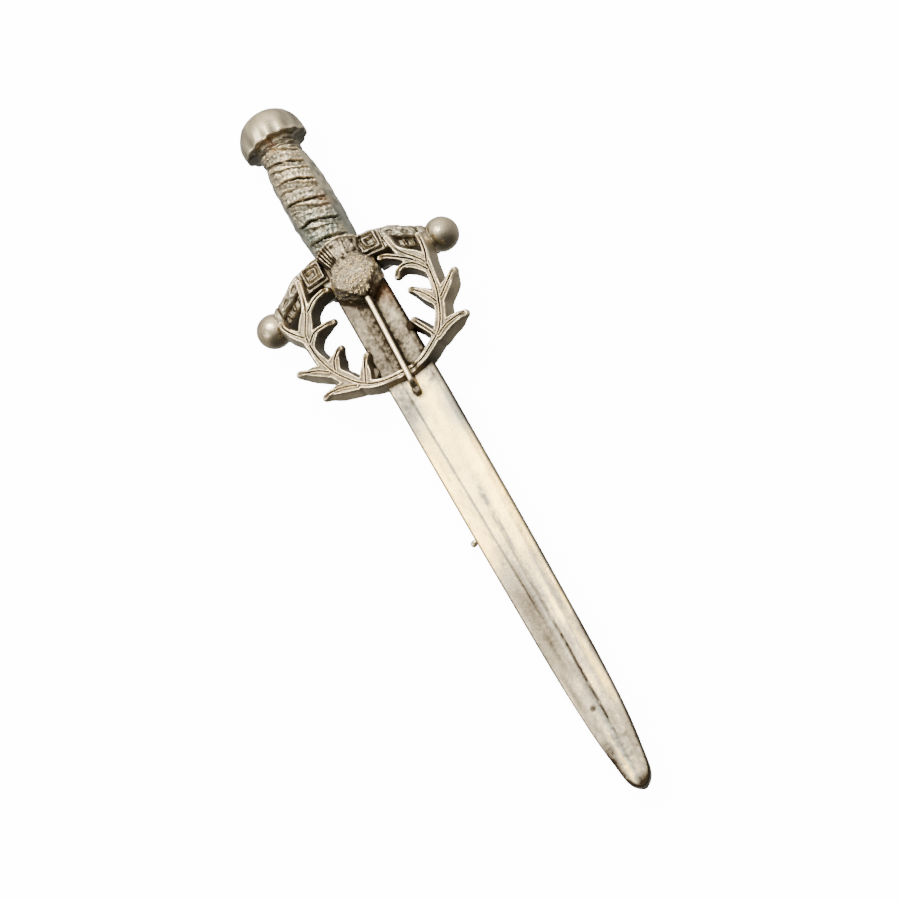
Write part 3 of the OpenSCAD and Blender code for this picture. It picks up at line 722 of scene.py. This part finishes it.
def makeGrains(material):
    # small raised grains scattered over the bulb's front by geometry nodes
    t = thistleLook
    columns, rows = 30, 40
    v, q = np.meshgrid(np.linspace(-0.93, 0.93, columns), np.linspace(24.3, 29.0, rows), indexing="ij")
    half, rise = bulbShape(q)
    x = v * half
    z = sword["faceHeight"] + bulbFront(x, rise) - 0.12 * np.abs(v) ** 6
    points = np.stack([x + np.interp(q, *t["aside"]), fromTop(q), z], -1).reshape(-1, 3)
    i, j = np.meshgrid(np.arange(columns - 1), np.arange(rows - 1), indexing="ij")
    a = i * rows + j
    quads = np.stack([a, a + 1, a + rows + 1, a + rows], -1).reshape(-1, 4)
    patch = meshOf("bulb_grains", points, quads, material, {})
    tree = bpy.data.node_groups.new("bulb_grain_tree", "GeometryNodeTree")
    tree.is_modifier = True
    tree.interface.new_socket("Geometry", in_out="INPUT", socket_type="NodeSocketGeometry")
    inputs = {"Grain size": ("NodeSocketFloat", t["grainSize"] / 1000),
              "Grains per square metre": ("NodeSocketFloat", t["grainDensity"] * 1e6),
              "Seed": ("NodeSocketInt", t["grainSeed"])}
    sockets = {name: tree.interface.new_socket(name, in_out="INPUT", socket_type=kind).identifier
               for name, (kind, value) in inputs.items()}
    tree.interface.new_socket("Geometry", in_out="OUTPUT", socket_type="NodeSocketGeometry")
    wire = Wire(tree)
    start = tree.nodes.new("NodeGroupInput")
    given = {name: Wire(tree, start.outputs[name]) for name in ("Geometry", *sockets)}
    seed = given["Seed"]
    spread = wire.node("GeometryNodeDistributePointsOnFaces", {}, {
        "Mesh": given["Geometry"], "Density": given["Grains per square metre"], "Seed": seed}, "Points")
    turned = wire.node("FunctionNodeRandomValue", {"data_type": "FLOAT_VECTOR"},
                       {0: (-0.15, -0.15, 0), 1: (0.15, 0.15, math.pi), "Seed": seed}, 0)
    size = wire.node("FunctionNodeRandomValue", {"data_type": "FLOAT"}, {2: 0.5, 3: 1.2, "Seed": seed}, 1)
    size = wire.node("ShaderNodeVectorMath", {"operation": "SCALE"},
                     {0: (t["grainLength"], 0.75, 0.95), "Scale": size}, 0)
    ball = wire.node("GeometryNodeMeshIcoSphere", {},
                     {"Radius": given["Grain size"], "Subdivisions": 1}, "Mesh")
    placed = wire.node("GeometryNodeInstanceOnPoints", {}, {
        "Points": spread, "Instance": ball, "Rotation": turned, "Scale": size}, "Instances")
    real = wire.node("GeometryNodeRealizeInstances", {}, {"Geometry": placed})
    dressed = wire.node("GeometryNodeSetMaterial", {}, {"Geometry": real, "Material": material})
    end = tree.nodes.new("NodeGroupOutput")
    tree.links.new(dressed.socket, end.inputs[0])
    modifier = patch.modifiers.new("grains", "NODES")
    modifier.node_group = tree
    for name, (kind, value) in inputs.items():
        modifier[sockets[name]] = value
    plain = bpy.data.meshes.new_from_object(patch.evaluated_get(bpy.context.evaluated_depsgraph_get()))
    patch.modifiers.clear()
    patch.data = plain
    return patch


# Grip

# Wrap lines: places down the sword at the left, the middle and the right of the front ("across").
gripLook = {
    "top": 6.7, "length": 14.3, "radius": 3.15, "around": 270, "down": 200, "front": (-2.85, 2.35),
    "strip": 0.3, "valley": 0.1, "twist": 0.18, "cut": 0.3, "scratch": 0.16, "across": [-2.47, 0, 2.1],
    "profile": [
        [0, 0.8], [0.1, 0.9], [0.25, 0.98], [0.42, 1.03], [0.6, 1.04], [0.78, 1.01], [0.9, 0.96], [1, 0.92]],
    "lines": [
        [4.4, 5.2, 6.1], [7.4, 8.27, 9.2], [10.4, 11.03, 12.1], [13.43, 14.29, 14.8], [16.78, 17.25, 17.95],
        [19.35, 20.0, 20.4], [22.2, 22.9, 23.6]]}


def wrapRelief(x, s, facing):
    # height and darkness of the slanting wraps on the front of the grip
    g = gripLook
    left, right = g["front"]
    front = risesFrom(facing, 0.35, 0.3) * fallsTo(x, right, 0.35) * risesFrom(x, left, 0.35)
    grid = joined(x, s, facing * 3)
    knots = lumps(grid, 0.75, 31)
    small = lumps(grid, 0.28, 32)
    s = s + 0.13 * lumps(grid, 0.9, 33) + 0.06 * small
    phase, gap, band = np.full(x.shape, 0.5), np.full(x.shape, 3.0), np.zeros(x.shape)
    for i, pair in enumerate(zip(g["lines"], g["lines"][1:])):
        a, b = (np.interp(x, g["across"], row) for row in pair)
        within = (s >= a) & (s < b)
        phase = np.where(within, (s - a) / (b - a), phase)
        gap = np.where(within, b - a, gap)
        band = np.where(within, i, band)
    start = -2.1 + 0.5 * np.sin(band * 2.3)  # each strip begins with a small step
    depth = (1 - phase) * gap
    cut = ridge(depth, 0.13) + 0.7 * ridge(phase * gap, 0.1)
    strip = risesFrom(phase, 0.44, 0.05) * fallsTo(phase, 0.97, 0.03)
    stepped = 0.75 + 0.25 * risesFrom(x, start, 0.08)
    valley = risesFrom(phase, 0.05, 0.06) * fallsTo(phase, 0.42, 0.06)
    cross = np.clip(np.sin((x * 0.9 - s * 1.5) * math.pi / 1.15 + band * 1.7) * 2.5, -1, 1)
    relief = strip * (g["strip"] * stepped + 0.15 * knots) + valley * (g["valley"] + g["twist"] * cross)
    scratch = ridge((phase - 0.66 - 0.1 * knots) * gap, 0.06) * np.clip(0.5 + knots, 0, 1)
    fine = lumps(grid, 0.2, 34)
    cut = cut * np.clip(0.75 + 0.9 * knots + 0.5 * small, 0.25, 1)
    relief = relief - g["cut"] * cut - g["scratch"] * scratch + 0.1 * small + 0.06 * fine
    return relief * front, front, cut + 0.6 * scratch + 0.5 * np.clip(-fine, 0, 1), knots


def makeGrip(material):
    g = gripLook
    angle = np.linspace(0, 2 * math.pi, g["around"], endpoint=False)[:, None]
    share = np.linspace(0, 1, g["down"])[None, :]
    s = g["top"] + share * g["length"]
    profile = throughPoints(g["profile"])
    radius = g["radius"] * np.interp(share, profile[:, 0], profile[:, 1])
    x = radius * np.sin(angle)
    facing = np.broadcast_to(np.cos(angle), x.shape)
    relief, front, cut, knots = wrapRelief(x, np.broadcast_to(s, x.shape), facing)
    relief = relief + 0.11 * knots * (1 - front)
    ends = fallsTo(share, 1, 0.02)
    r = radius + relief * ends
    points = joined(r * np.sin(angle) + bow(s), fromTop(s), sword["axisHeight"] + r * np.cos(angle))
    reach = 12  # the tube goes round, so the blur needs a margin on both sides
    soft = blurred(np.pad(r, ((reach, reach), (0, 0)), mode="wrap"), (5, 5))[reach:-reach]
    # darker in the hollows of the wraps: patina and painted shade
    tarnish = 0.3 + 2.2 * (soft - r) * front + 0.16 * front * cut - (0.14 - 0.4 * knots) * (1 - front)
    blue = risesFrom(s, 14.0, 5) * front * np.clip(0.3 + 0.35 * knots, 0, 1)
    copper = 0.45 * spot(x - 1.9, s - 15.3, 0.9)
    grey = 0.25 + 0.35 * risesFrom(s, 12, 6) + 0.5 * (1 - front) + 0.35 * knots
    layers = {"tarnish": tarnish, "green": blue, "rust": copper, "grey": grey}
    return tubePiece("grip_cast", points, material, layers)


def tubePiece(name, points, material, layers):
    # rings run along the second index; a middle point closes each end and takes the layers' means
    n, m = points.shape[:2]
    i, j = np.meshgrid(np.arange(n), np.arange(m - 1), indexing="ij")
    a, b = i * m + j, (i + 1) % n * m + j
    quads = np.stack([a, a + 1, b + 1, b], -1).reshape(-1, 4)
    flat = np.vstack([points.reshape(-1, 3), points[:, 0].mean(0), points[:, -1].mean(0)])
    ring = np.arange(0, n, 2)
    after, later = (ring + 1) % n, (ring + 2) % n
    first = joined(n * m, ring * m, after * m, later * m)
    last = joined(n * m + 1, later * m + m - 1, after * m + m - 1, ring * m + m - 1)
    values = {key: np.clip(np.broadcast_to(layer, (n, m)), 0, 1).ravel() for key, layer in layers.items()}
    values = {key: np.append(layer, [layer.mean()] * 2) for key, layer in values.items()}
    return meshOf(name, flat, np.vstack([quads, first, last]), material, values)


# Pommel

pommelLook = {
    "radius": 4.125, "broad": 1.035, "dome": 5.0, "around": 260, "gadroons": 14, "gadroonCut": 0.16,
    "wave": 0.06, "streak": 0.05, "rag": 0.16, "frontDrop": 0.35,
    "cap": [
        [0.02, 0], [0.14, 0.006], [0.26, 0.015], [0.5, 0.09], [0.72, 0.23], [0.88, 0.42], [0.97, 0.62],
        [1, 0.8], [0.995, 0.93], [0.95, 1.0], [0.8, 1.0], [0.66, 0.99]],
    "neck": [[2.3, 5.2], [2.5, 5.55], [2.7, 5.9], [2.5, 6.15], [2.6, 6.4], [2.55, 6.7]]}


def makePommel(material):
    p = pommelLook
    cap = throughPoints([[a * p["radius"], b * p["dome"]] for a, b in p["cap"]], 10)
    neck = throughPoints(p["neck"], 6)
    line = np.vstack([cap, neck])
    angle = np.linspace(0, 2 * math.pi, p["around"], endpoint=False)[:, None]
    radius, s = line[None, :, 0], line[None, :, 1]
    height = s / p["dome"]
    onCap = 1.0 * (np.arange(len(line)) < len(cap))[None, :]
    onNeck = 1 - onCap
    rim = risesFrom(height, 0.35, 0.4) * onCap * risesFrom(radius, 2.9, 0.6)
    grid = joined(radius * np.sin(angle), s, radius * np.cos(angle))
    wavy, rag = lumps(grid, 1.5, 41), lumps(grid, 0.6, 42)
    front = np.clip(np.cos(angle), 0, 1)
    gadroon = np.sin(angle * p["gadroons"] / 2) ** 2
    streaks = lumps(joined(3.2 * np.sin(angle), s * 0.35, 3.2 * np.cos(angle)), 0.6, 43)
    outward = risesFrom(radius, 0.8, 2.4)
    r = radius - rim * p["gadroonCut"] * gadroon + (p["wave"] * wavy + p["streak"] * streaks) * onCap * outward
    lip = risesFrom(height, 0.85, 0.15) * onCap
    drop = s + lip * (p["rag"] * rag * front - p["frontDrop"] * front * front) + p["wave"] * rim * wavy
    facing = np.broadcast_to(np.cos(angle), r.shape)
    relief, _, cut, _ = wrapRelief(r * np.sin(angle), np.broadcast_to(s, r.shape), facing)
    r = r + relief * onNeck
    points = joined(r * np.sin(angle) * p["broad"], fromTop(drop), sword["axisHeight"] + r * np.cos(angle))
    # painted shade under the cap and towards the sides, which are also greyer; a lighter line along the front
    # of the lip, and a rusty spot on the collar
    under = risesFrom(s, p["dome"] - 0.25, 0.4) * np.clip((6.1 - s) / 0.5, 0.3, 1) + 0.3 * onNeck * cut
    side = 1 - front
    tarnish = 0.15 + 0.4 * under + 0.14 * side + 0.28 * rim * gadroon * front + 0.15 * wavy
    # painted reflection: streaks of lighter and darker tone down the cap
    tarnish = tarnish + 0.2 * streaks * onCap * outward - 0.4 * ridge(height - 0.95, 0.05) * front
    rust = 0.5 * spot(radius * np.sin(angle) + 0.4, s - 5.4, 0.5) * front
    layers = {"tarnish": tarnish, "grey": 0.15 + 0.6 * side, "rust": rust}
    return tubePiece("pommel_cast", points, material, layers)


# Blade

# The tables give a value at places down the sword; bulbShadow gives a place at places across the blade.
bladeLook = {
    "top": 26.05, "length": 75.95, "half": 3.3, "thick": 2.2, "grooveCut": 0.13, "grooveHalf": 0.1,
    "crestFall": 0.13, "edgeRound": 0.4, "edgeFrom": 0.93, "thinFrom": 0.9, "thinning": 3, "roughness": 0.012,
    "pitAt": (-0.85, 90.3), "pitSize": 0.28, "pitDepth": 0.12, "backShare": 0.985, "stations": 470,
    "acrossTop": 60,
    "leftCrest": [[26, 46, 72, 95], [-1.5, -1.4, -0.85, -0.5]],
    "rightCrest": [[26, 46, 72, 95], [2.45, 2.45, 1.9, 1.0]],
    "groove": [[26, 56, 90, 102], [0.38, 0.36, 0.22, 0.1]],
    "grooveDepth": [[26, 58, 64, 90, 97], [0, 0, 1, 1, 0]],
    "grooveDark": [
        [64, 67.5, 72, 76.5, 81, 86, 88, 91.4, 94.4, 96], [0, 0.2, 0.5, 0.65, 1, 1, 0.6, 0.7, 0.2, 0]],
    "softMark": [[57.2, 58.2, 64.5, 69.5], [0, 0.42, 0.42, 0]],
    "leftDark": [[40, 44, 72, 80], [0.3, 1, 0.9, 0.2]], "rightDark": [[55, 62, 85, 92], [0, 1, 1, 0]],
    "bulbShadow": [[-3.3, -0.8, 1.3, 3.3], [27.7, 30, 30, 28.6]],
    "edge": [
        [0, 0.98], [0.17, 1], [0.4, 0.985], [0.52, 0.97], [0.64, 0.94], [0.74, 0.91], [0.81, 0.86],
        [0.87, 0.79], [0.91, 0.705], [0.94, 0.62], [0.96, 0.565], [0.97, 0.53], [0.978, 0.485],
        [0.985, 0.42], [0.991, 0.33], [0.9965, 0.2], [1, 0.06]]}


def bladeLines(s):
    # two crest lines, the left one nearer to the middle, and the groove between them
    return [np.interp(s, *bladeLook[name]) for name in ("leftCrest", "rightCrest", "groove")]


def bladePits(x, s):
    # fine pits all over, and a deeper one low on the left
    (pitX, pitS), size = bladeLook["pitAt"], bladeLook["pitSize"]
    return lumpsOver(x, s, 0.5, 52), np.clip(1.6 - np.hypot(x - pitX, s - pitS) / size, 0, 1)


def bladeLayers(points, half, onTop):
    # tarnish and painted shade, grey film and rust, from places down (s) and across (x) the blade
    b = bladeLook
    s, z = fromTop(points[..., 1]), points[..., 2]
    x = points[..., 0] - bow(s)
    cloud = lumps(joined(x, s * 0.6, z), 3.2, 53)
    speck, fineSpeck = lumps(points, 0.35, 54), lumps(points, 0.2, 57)
    streaks = lumps(joined(x, s * 0.12, z), 0.7, 55)
    behind = fallsTo(s, 41.5, 2.0)
    clear = 1 - behind
    lowHalf, nearTip, tip = risesFrom(s, 60, 12), risesFrom(s, 90, 6), risesFrom(s, 97, 5)
    # bright, but darker behind the wreath (tarnish and painted shade) and at the very tip
    tone = 0.02 + 0.11 * cloud * clear + (0.61 + 0.15 * speck + 0.1 * fineSpeck + 0.1 * cloud) * behind
    tone += 0.2 * tip ** 3 + (0.75 + 0.35 * streaks) * risesFrom(s, 100.1, 1.5) ** 1.2
    # edges, darker towards the tip
    rim = np.where(x < 0, -x / half - 0.5, x / half - 0.75) / np.where(x < 0, 0.4, 0.2)
    tone += 0.52 * np.clip(rim, 0, 1) ** 1.5 * risesFrom(s, np.where(x < 0, 94, 98), 4)
    tone += 0.14 * risesFrom(x, 2.3, 0.3) * fallsTo(s, 60, 6)
    # painted shade along the rounded-off edges
    tone += 0.5 * risesFrom(np.abs(x) / half, 0.965, 0.03) + 0.2 * risesFrom(np.abs(x + 0.1) / half, 0.9, 0.06)
    # duller lower half, most of all its left side and the band beside the groove
    tone += (0.1 + 0.2 * lowHalf) * streaks * clear + 0.08 * lowHalf * np.clip(speck, 0, 1)
    tone += 0.2 * lowHalf * fallsTo(x, 0.3, 0.3) * fallsTo(s, 101, 6) + 0.22 * lowHalf
    tone += 0.16 * np.clip(speck + 0.4 * cloud, 0, 1) * nearTip - 0.1 * nearTip * ridge(x / half, 0.5)
    band = risesFrom(x, np.interp(s, [60, 90], [-0.95, -0.6]), 0.25) * fallsTo(x, 0.35, 0.3)
    tone += 0.14 * band * risesFrom(s, 60, 6) * fallsTo(s, 92, 6) + 0.08 * lowHalf * risesFrom(x, 0.3, 0.5)
    # stains below the wreath, and darker patches at the wreath's lower edge and the stem's foot
    upper = spot(x + 2.4, (s - 44.5) * 0.55, 1.6) + spot(x - 2.9, (s - 47) * 0.3, 1.2)
    darkPatches = spot(x + 2.3, (s - 42.6) * 0.6, 1.3) + spot(x - 2.4, (s - 41.6) * 0.8, 1.0)
    darkPatches = np.clip(darkPatches + 0.7 * spot(x - 0.2, s - 42.9, 0.9), 0, 1)
    tone += np.clip(upper, 0, 1) * (0.2 + 0.2 * cloud) + darkPatches * (0.26 + 0.3 * speck + 0.15 * cloud) * clear
    # dark lines in the groove and along the crests, a soft mark and the pit
    left, right, middle = bladeLines(s)
    pits, pit = bladePits(x, s)
    tone += 0.95 * ridge(x - middle, 0.15) * np.interp(s, *b["grooveDark"]) * np.clip(0.85 + pits, 0.1, 1)
    tone += ridge(x - 0.4, 0.36) * np.interp(s, *b["softMark"]) * np.clip(0.7 + 0.7 * pits, 0.2, 1) + 0.5 * pit
    tone += 0.5 * ridge(x - left, 0.14) * np.interp(s, *b["leftDark"])
    tone += 0.12 * ridge(x - right, 0.15) * np.interp(s, *b["rightDark"])
    # shade under the stem and the bulb
    shade = 0.8 * ridge(x, 1.0) + 1.3 * fallsTo(s, np.interp(x, *b["bulbShadow"]), 0.6)
    tone += (0.45 - 0.15 * np.clip(x - 1, 0, 1)) * np.clip(shade, 0, 1) * behind
    # painted shade: the blade's walls and back darker than its top
    tarnish = np.where(onTop, tone, 0.7 + 0.15 * cloud)
    grey = np.clip(0.35 * cloud + 0.4 * ~onTop + 0.6 * upper + 0.5 * band * lowHalf, 0, 0.7)
    return {"tarnish": tarnish, "grey": grey, "rust": 0.28 * spot(x - 2.6, s - 29.5, 1.1)}


def makeBlade(material):
    b = bladeLook
    share = 1 - (1 - np.linspace(0, 1, b["stations"])) ** 1.15
    outline = throughPoints(b["edge"], 10)
    half = (b["half"] * np.interp(share, outline[:, 0], outline[:, 1]))[None, :]
    thin = np.where(share > b["thinFrom"], 1 - (share - b["thinFrom"]) * b["thinning"], 1)[None, :]
    s = (b["top"] + share * b["length"])[None, :]
    low = sword["backHeight"]
    turn = math.pi / 2 * 0.93  # brings the rows closer together towards the edges
    e = np.sin(np.linspace(-1, 1, b["acrossTop"]) * turn)[:, None] / math.sin(turn)
    x = e * half
    left, right, middle = bladeLines(s)
    pits, pit = bladePits(x, s)
    fall = b["crestFall"] * (np.clip(left - x, 0, farAway) + np.clip(x - right, 0, farAway))
    roundOff = b["edgeRound"] * risesFrom(np.abs(e), b["edgeFrom"], 0.07) ** 2
    cut = b["grooveCut"] * ridge(x - middle, b["grooveHalf"]) * np.interp(s, *b["grooveDepth"])
    rough = b["roughness"] * lumps(joined(x, s * 0.35, 0 * x), 0.5, 51) + b["roughness"] * pits
    face = low + b["thick"] * thin - fall - roundOff * thin - cut - b["pitDepth"] * pit + rough
    z = np.maximum(face, low + 0.25)

    def wall(side, edge, depths):
        return [joined(side * half * (1.0 + 0.012 * (1 - depth)), fromTop(s), low + (edge - low) * depth)
                for depth in depths]

    # rows of points round the blade: top, right wall, back and left wall
    across = np.linspace(1, -1, 14)[:, None]
    back = joined(across * half * b["backShare"], fromTop(s), low + 0.05 * across ** 8)
    points = np.vstack([joined(x, fromTop(s), z), *wall(1, z[-1:], (0.7, 0.4, 0.12)), back,
                        *wall(-1, z[:1], (0.12, 0.4, 0.7))])
    points[..., 0] += bow(fromTop(points[..., 1]))
    onTop = np.arange(len(points))[:, None] < len(x)
    layers = {name: layer[:, ::-1] for name, layer in bladeLayers(points, half, onTop).items()}
    return tubePiece("blade_cast", points[:, ::-1], material, layers)


# Brooch pin

# The sizes named ear, barrel, rivet, pin, point, hook, stalk and knob are radii.
broochLook = {
    "space": ((-4.1, 2.1), (32.6, 64.5), (0.1, 3.3)), "step": (0.075, 0.1, 0.075), "hingeAt": 33.05,
    "catchAt": 61.05, "block": 3.0, "blockWidth": 3.6, "blockCorner": 0.25, "plate": 0.55, "axisIn": 1.35,
    "ear": 0.75, "earAt": 1.15, "earHalf": 0.3, "barrel": 0.72, "barrelHalf": 0.78, "rivet": 0.3,
    "rivetHalf": 1.65, "pinRise": 1.27, "pin": 0.52, "pinShort": 0.5, "taper": 7.0, "point": 0.16,
    "hook": 0.95, "hookWall": 0.2, "hookHalf": 1.0, "stalk": 0.35, "stalkFrom": -1.2, "knob": 0.45,
    "knobAt": -3.4, "knobRise": 1.8, "edgeRound": 0.12}


def makeBroochPin(material):
    b = broochLook
    low, high = boxOf(*b["space"])
    x, y, z = cells(low, high, b["step"])
    s = fromTop(y)
    back = sword["backHeight"] - 0.02
    axisAt, rise, soft = b["hingeAt"] + b["axisIn"], b["pinRise"], b["edgeRound"]

    def plate(start):
        along = np.abs(s - start - b["block"] / 2) - b["block"] / 2
        slab = blendMax(np.abs(x) - b["blockWidth"] / 2, along, b["blockCorner"])
        return blendMax(slab, np.maximum(back - b["plate"] - z, z - back), soft)

    def rod(a, c, radius, reach):
        return blendMax(np.sqrt(a ** 2 + c ** 2) - radius, reach, soft)

    field = np.minimum(plate(b["hingeAt"]), plate(b["catchAt"]))
    # hinge: two ears, a rolled barrel between them and a rivet through all three
    ears = blendMax(np.abs(np.abs(x) - b["earAt"]) - b["earHalf"], np.abs(s - axisAt) - b["ear"], soft)
    rounded = np.sqrt((s - axisAt) ** 2 + (z - rise) ** 2) - b["ear"]
    field = blendMin(field, np.maximum(ears, np.where(z < rise, rounded, z - back)), 0.1)
    field = np.minimum(field, rod(s - axisAt, z - rise, b["barrel"], np.abs(x) - b["barrelHalf"]))
    field = np.minimum(field, rod(s - axisAt, z - rise, b["rivet"], np.abs(x) - b["rivetHalf"]))
    # pin, sharpened at its far end
    last = b["catchAt"] + b["block"] - b["pinShort"]
    radius = b["pin"] + (b["point"] - b["pin"]) * np.clip((s - last + b["taper"]) / b["taper"], 0, 1) ** 1.5
    field = blendMin(field, rod(x, z - rise, radius, np.maximum(s - last, axisAt - s)), 0.15)
    # catch: a strip rolled round the pin, open on one side, hung from its plate
    across = np.sqrt(x ** 2 + (z - rise) ** 2)
    hook = np.abs(across - b["hook"]) - b["hookWall"]
    hook = blendMax(hook, -np.maximum(x - 0.5, rise + 0.1 - z), 0.1)
    hanger = np.maximum(np.abs(x - b["hook"]) - b["hookWall"], np.maximum(rise - z, z - back))
    along = np.abs(s - b["catchAt"] - b["block"] / 2) - b["hookHalf"]
    hook = blendMax(np.minimum(hook, hanger), along, soft)
    field = blendMin(field, hook, 0.1)
    # release knob beside the blade's edge
    place = b["catchAt"] + b["block"] / 2
    reach = np.maximum(b["knobAt"] - x, x - b["stalkFrom"])
    stalk = rod(s - place, z - b["knobRise"] - 0.4, b["stalk"], reach)
    knob = np.sqrt((x - b["knobAt"]) ** 2 + (s - place) ** 2 + (z - b["knobRise"] - 0.1) ** 2) - b["knob"]
    field = blendMin(field, blendMin(stalk, knob, 0.15), 0.12)
    return fieldPiece("brooch_pin_cast", field, low, b["step"], material, None, (0.25, 0.8), 0.3, 0.3)


# Surroundings

studio = {
    "floor": (0.93, 0.93, 0.93, 1), "glow": 13.0, "sky": 2.4, "skySlope": (0.0, 0.55, 0.83),
    "skyStops": [(0.0, 0.27), (0.45, 0.3), (0.6, 0.34), (0.76, 0.46), (0.9, 0.78), (1.0, 1.0)],
    "nearStops": [(0.0, 0.22), (0.13, 0.26), (0.32, 0.8), (0.5, 1.0)], "keyPlace": (-0.08, 0.34, 0.78),
    "keyPower": 8.2, "keySize": 0.5, "fillPlace": (-0.7, -0.1, 0.5), "fillPower": 1.5, "fillSize": 0.4}


def makeStudio():
    mesh = bpy.data.meshes.new("floor")
    mesh.from_pydata([(-4, -4, 0), (4, -4, 0), (4, 4, 0), (-4, 4, 0)], [], [(0, 1, 2, 3)])
    floor = bpy.data.objects.new("floor", mesh)
    bpy.context.scene.collection.objects.link(floor)
    paint = bpy.data.materials.new("floor_paint")
    paint.use_nodes = True
    shader = next(n for n in paint.node_tree.nodes if n.type == "BSDF_PRINCIPLED")
    shader.inputs["Base Color"].default_value = studio["floor"]
    shader.inputs["Roughness"].default_value = 0.9
    shader.inputs["Emission Color"].default_value = (1, 1, 1, 1)
    shader.inputs["Emission Strength"].default_value = studio["glow"]
    mesh.materials.append(paint)
    floor.visible_glossy = floor.visible_diffuse = False  # the white table doesn't light the metal from below
    world = bpy.data.worlds.new("studio")
    world.use_nodes = True
    sky = next(n for n in world.node_tree.nodes if n.type == "BACKGROUND")
    sky.inputs["Color"].default_value = (1, 1, 1, 1)
    wire = Wire(world.node_tree)
    aim = wire.node("ShaderNodeTexCoord", out="Generated")

    def ramp(direction, stops):
        along = wire.node("ShaderNodeVectorMath", {"operation": "DOT_PRODUCT"},
                          {0: aim, 1: direction}, "Value")
        return wire.node("ShaderNodeValToRGB", {"stops": stops}, {0: along * 0.5 + 0.5})

    # brightest overhead and a little behind the pommel, dark where the photographer stands
    bright = ramp(studio["skySlope"], studio["skyStops"]) * studio["sky"]
    bright = bright * ramp((0.0, 1.0, 0.0), studio["nearStops"])
    world.node_tree.links.new(bright.socket, sky.inputs["Strength"])
    bpy.context.scene.world = world
    for name in ("key", "fill"):
        light = bpy.data.lights.new(name, "AREA")
        light.shape, light.size, light.energy = "DISK", studio[name + "Size"], studio[name + "Power"]
        lamp = bpy.data.objects.new(name, light)
        place = Vector(studio[name + "Place"])
        lamp.matrix_world = Matrix.Translation(place) @ place.to_track_quat("Z", "Y").to_matrix().to_4x4()
        bpy.context.scene.collection.objects.link(lamp)


makeStudio()
print("studio made")

makers = {
    "wreath": (makeWreath, {"grain": 0.25}),
    "guard": (makeGuard, {"grain": 0.25, "smooth": 0.14}),
    "thistle": (makeThistle, {"grain": 0.18, "speckle": 0.45, "bumps": 0.08}),
    "grip": (makeGrip, {"grain": 0.2, "smooth": 0.36}),
    "pommel": (makePommel, {"grain": 0.25, "smooth": 0.3}),
    "blade": (makeBlade, {"grain": 0.24, "smooth": 0.32, "speckle": 0.48, "bright": "cream"}),
    "brooch_pin": (makeBroochPin, {"grain": 0.3})}
for node, (maker, look) in makers.items():
    piece = maker(pewter(node + "_pewter", **look))
    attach(piece, "root")
    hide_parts(node)
    print("made", node)

grains = makeGrains(bpy.data.materials["thistle_pewter"])
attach(grains, "root")
print("made grains")
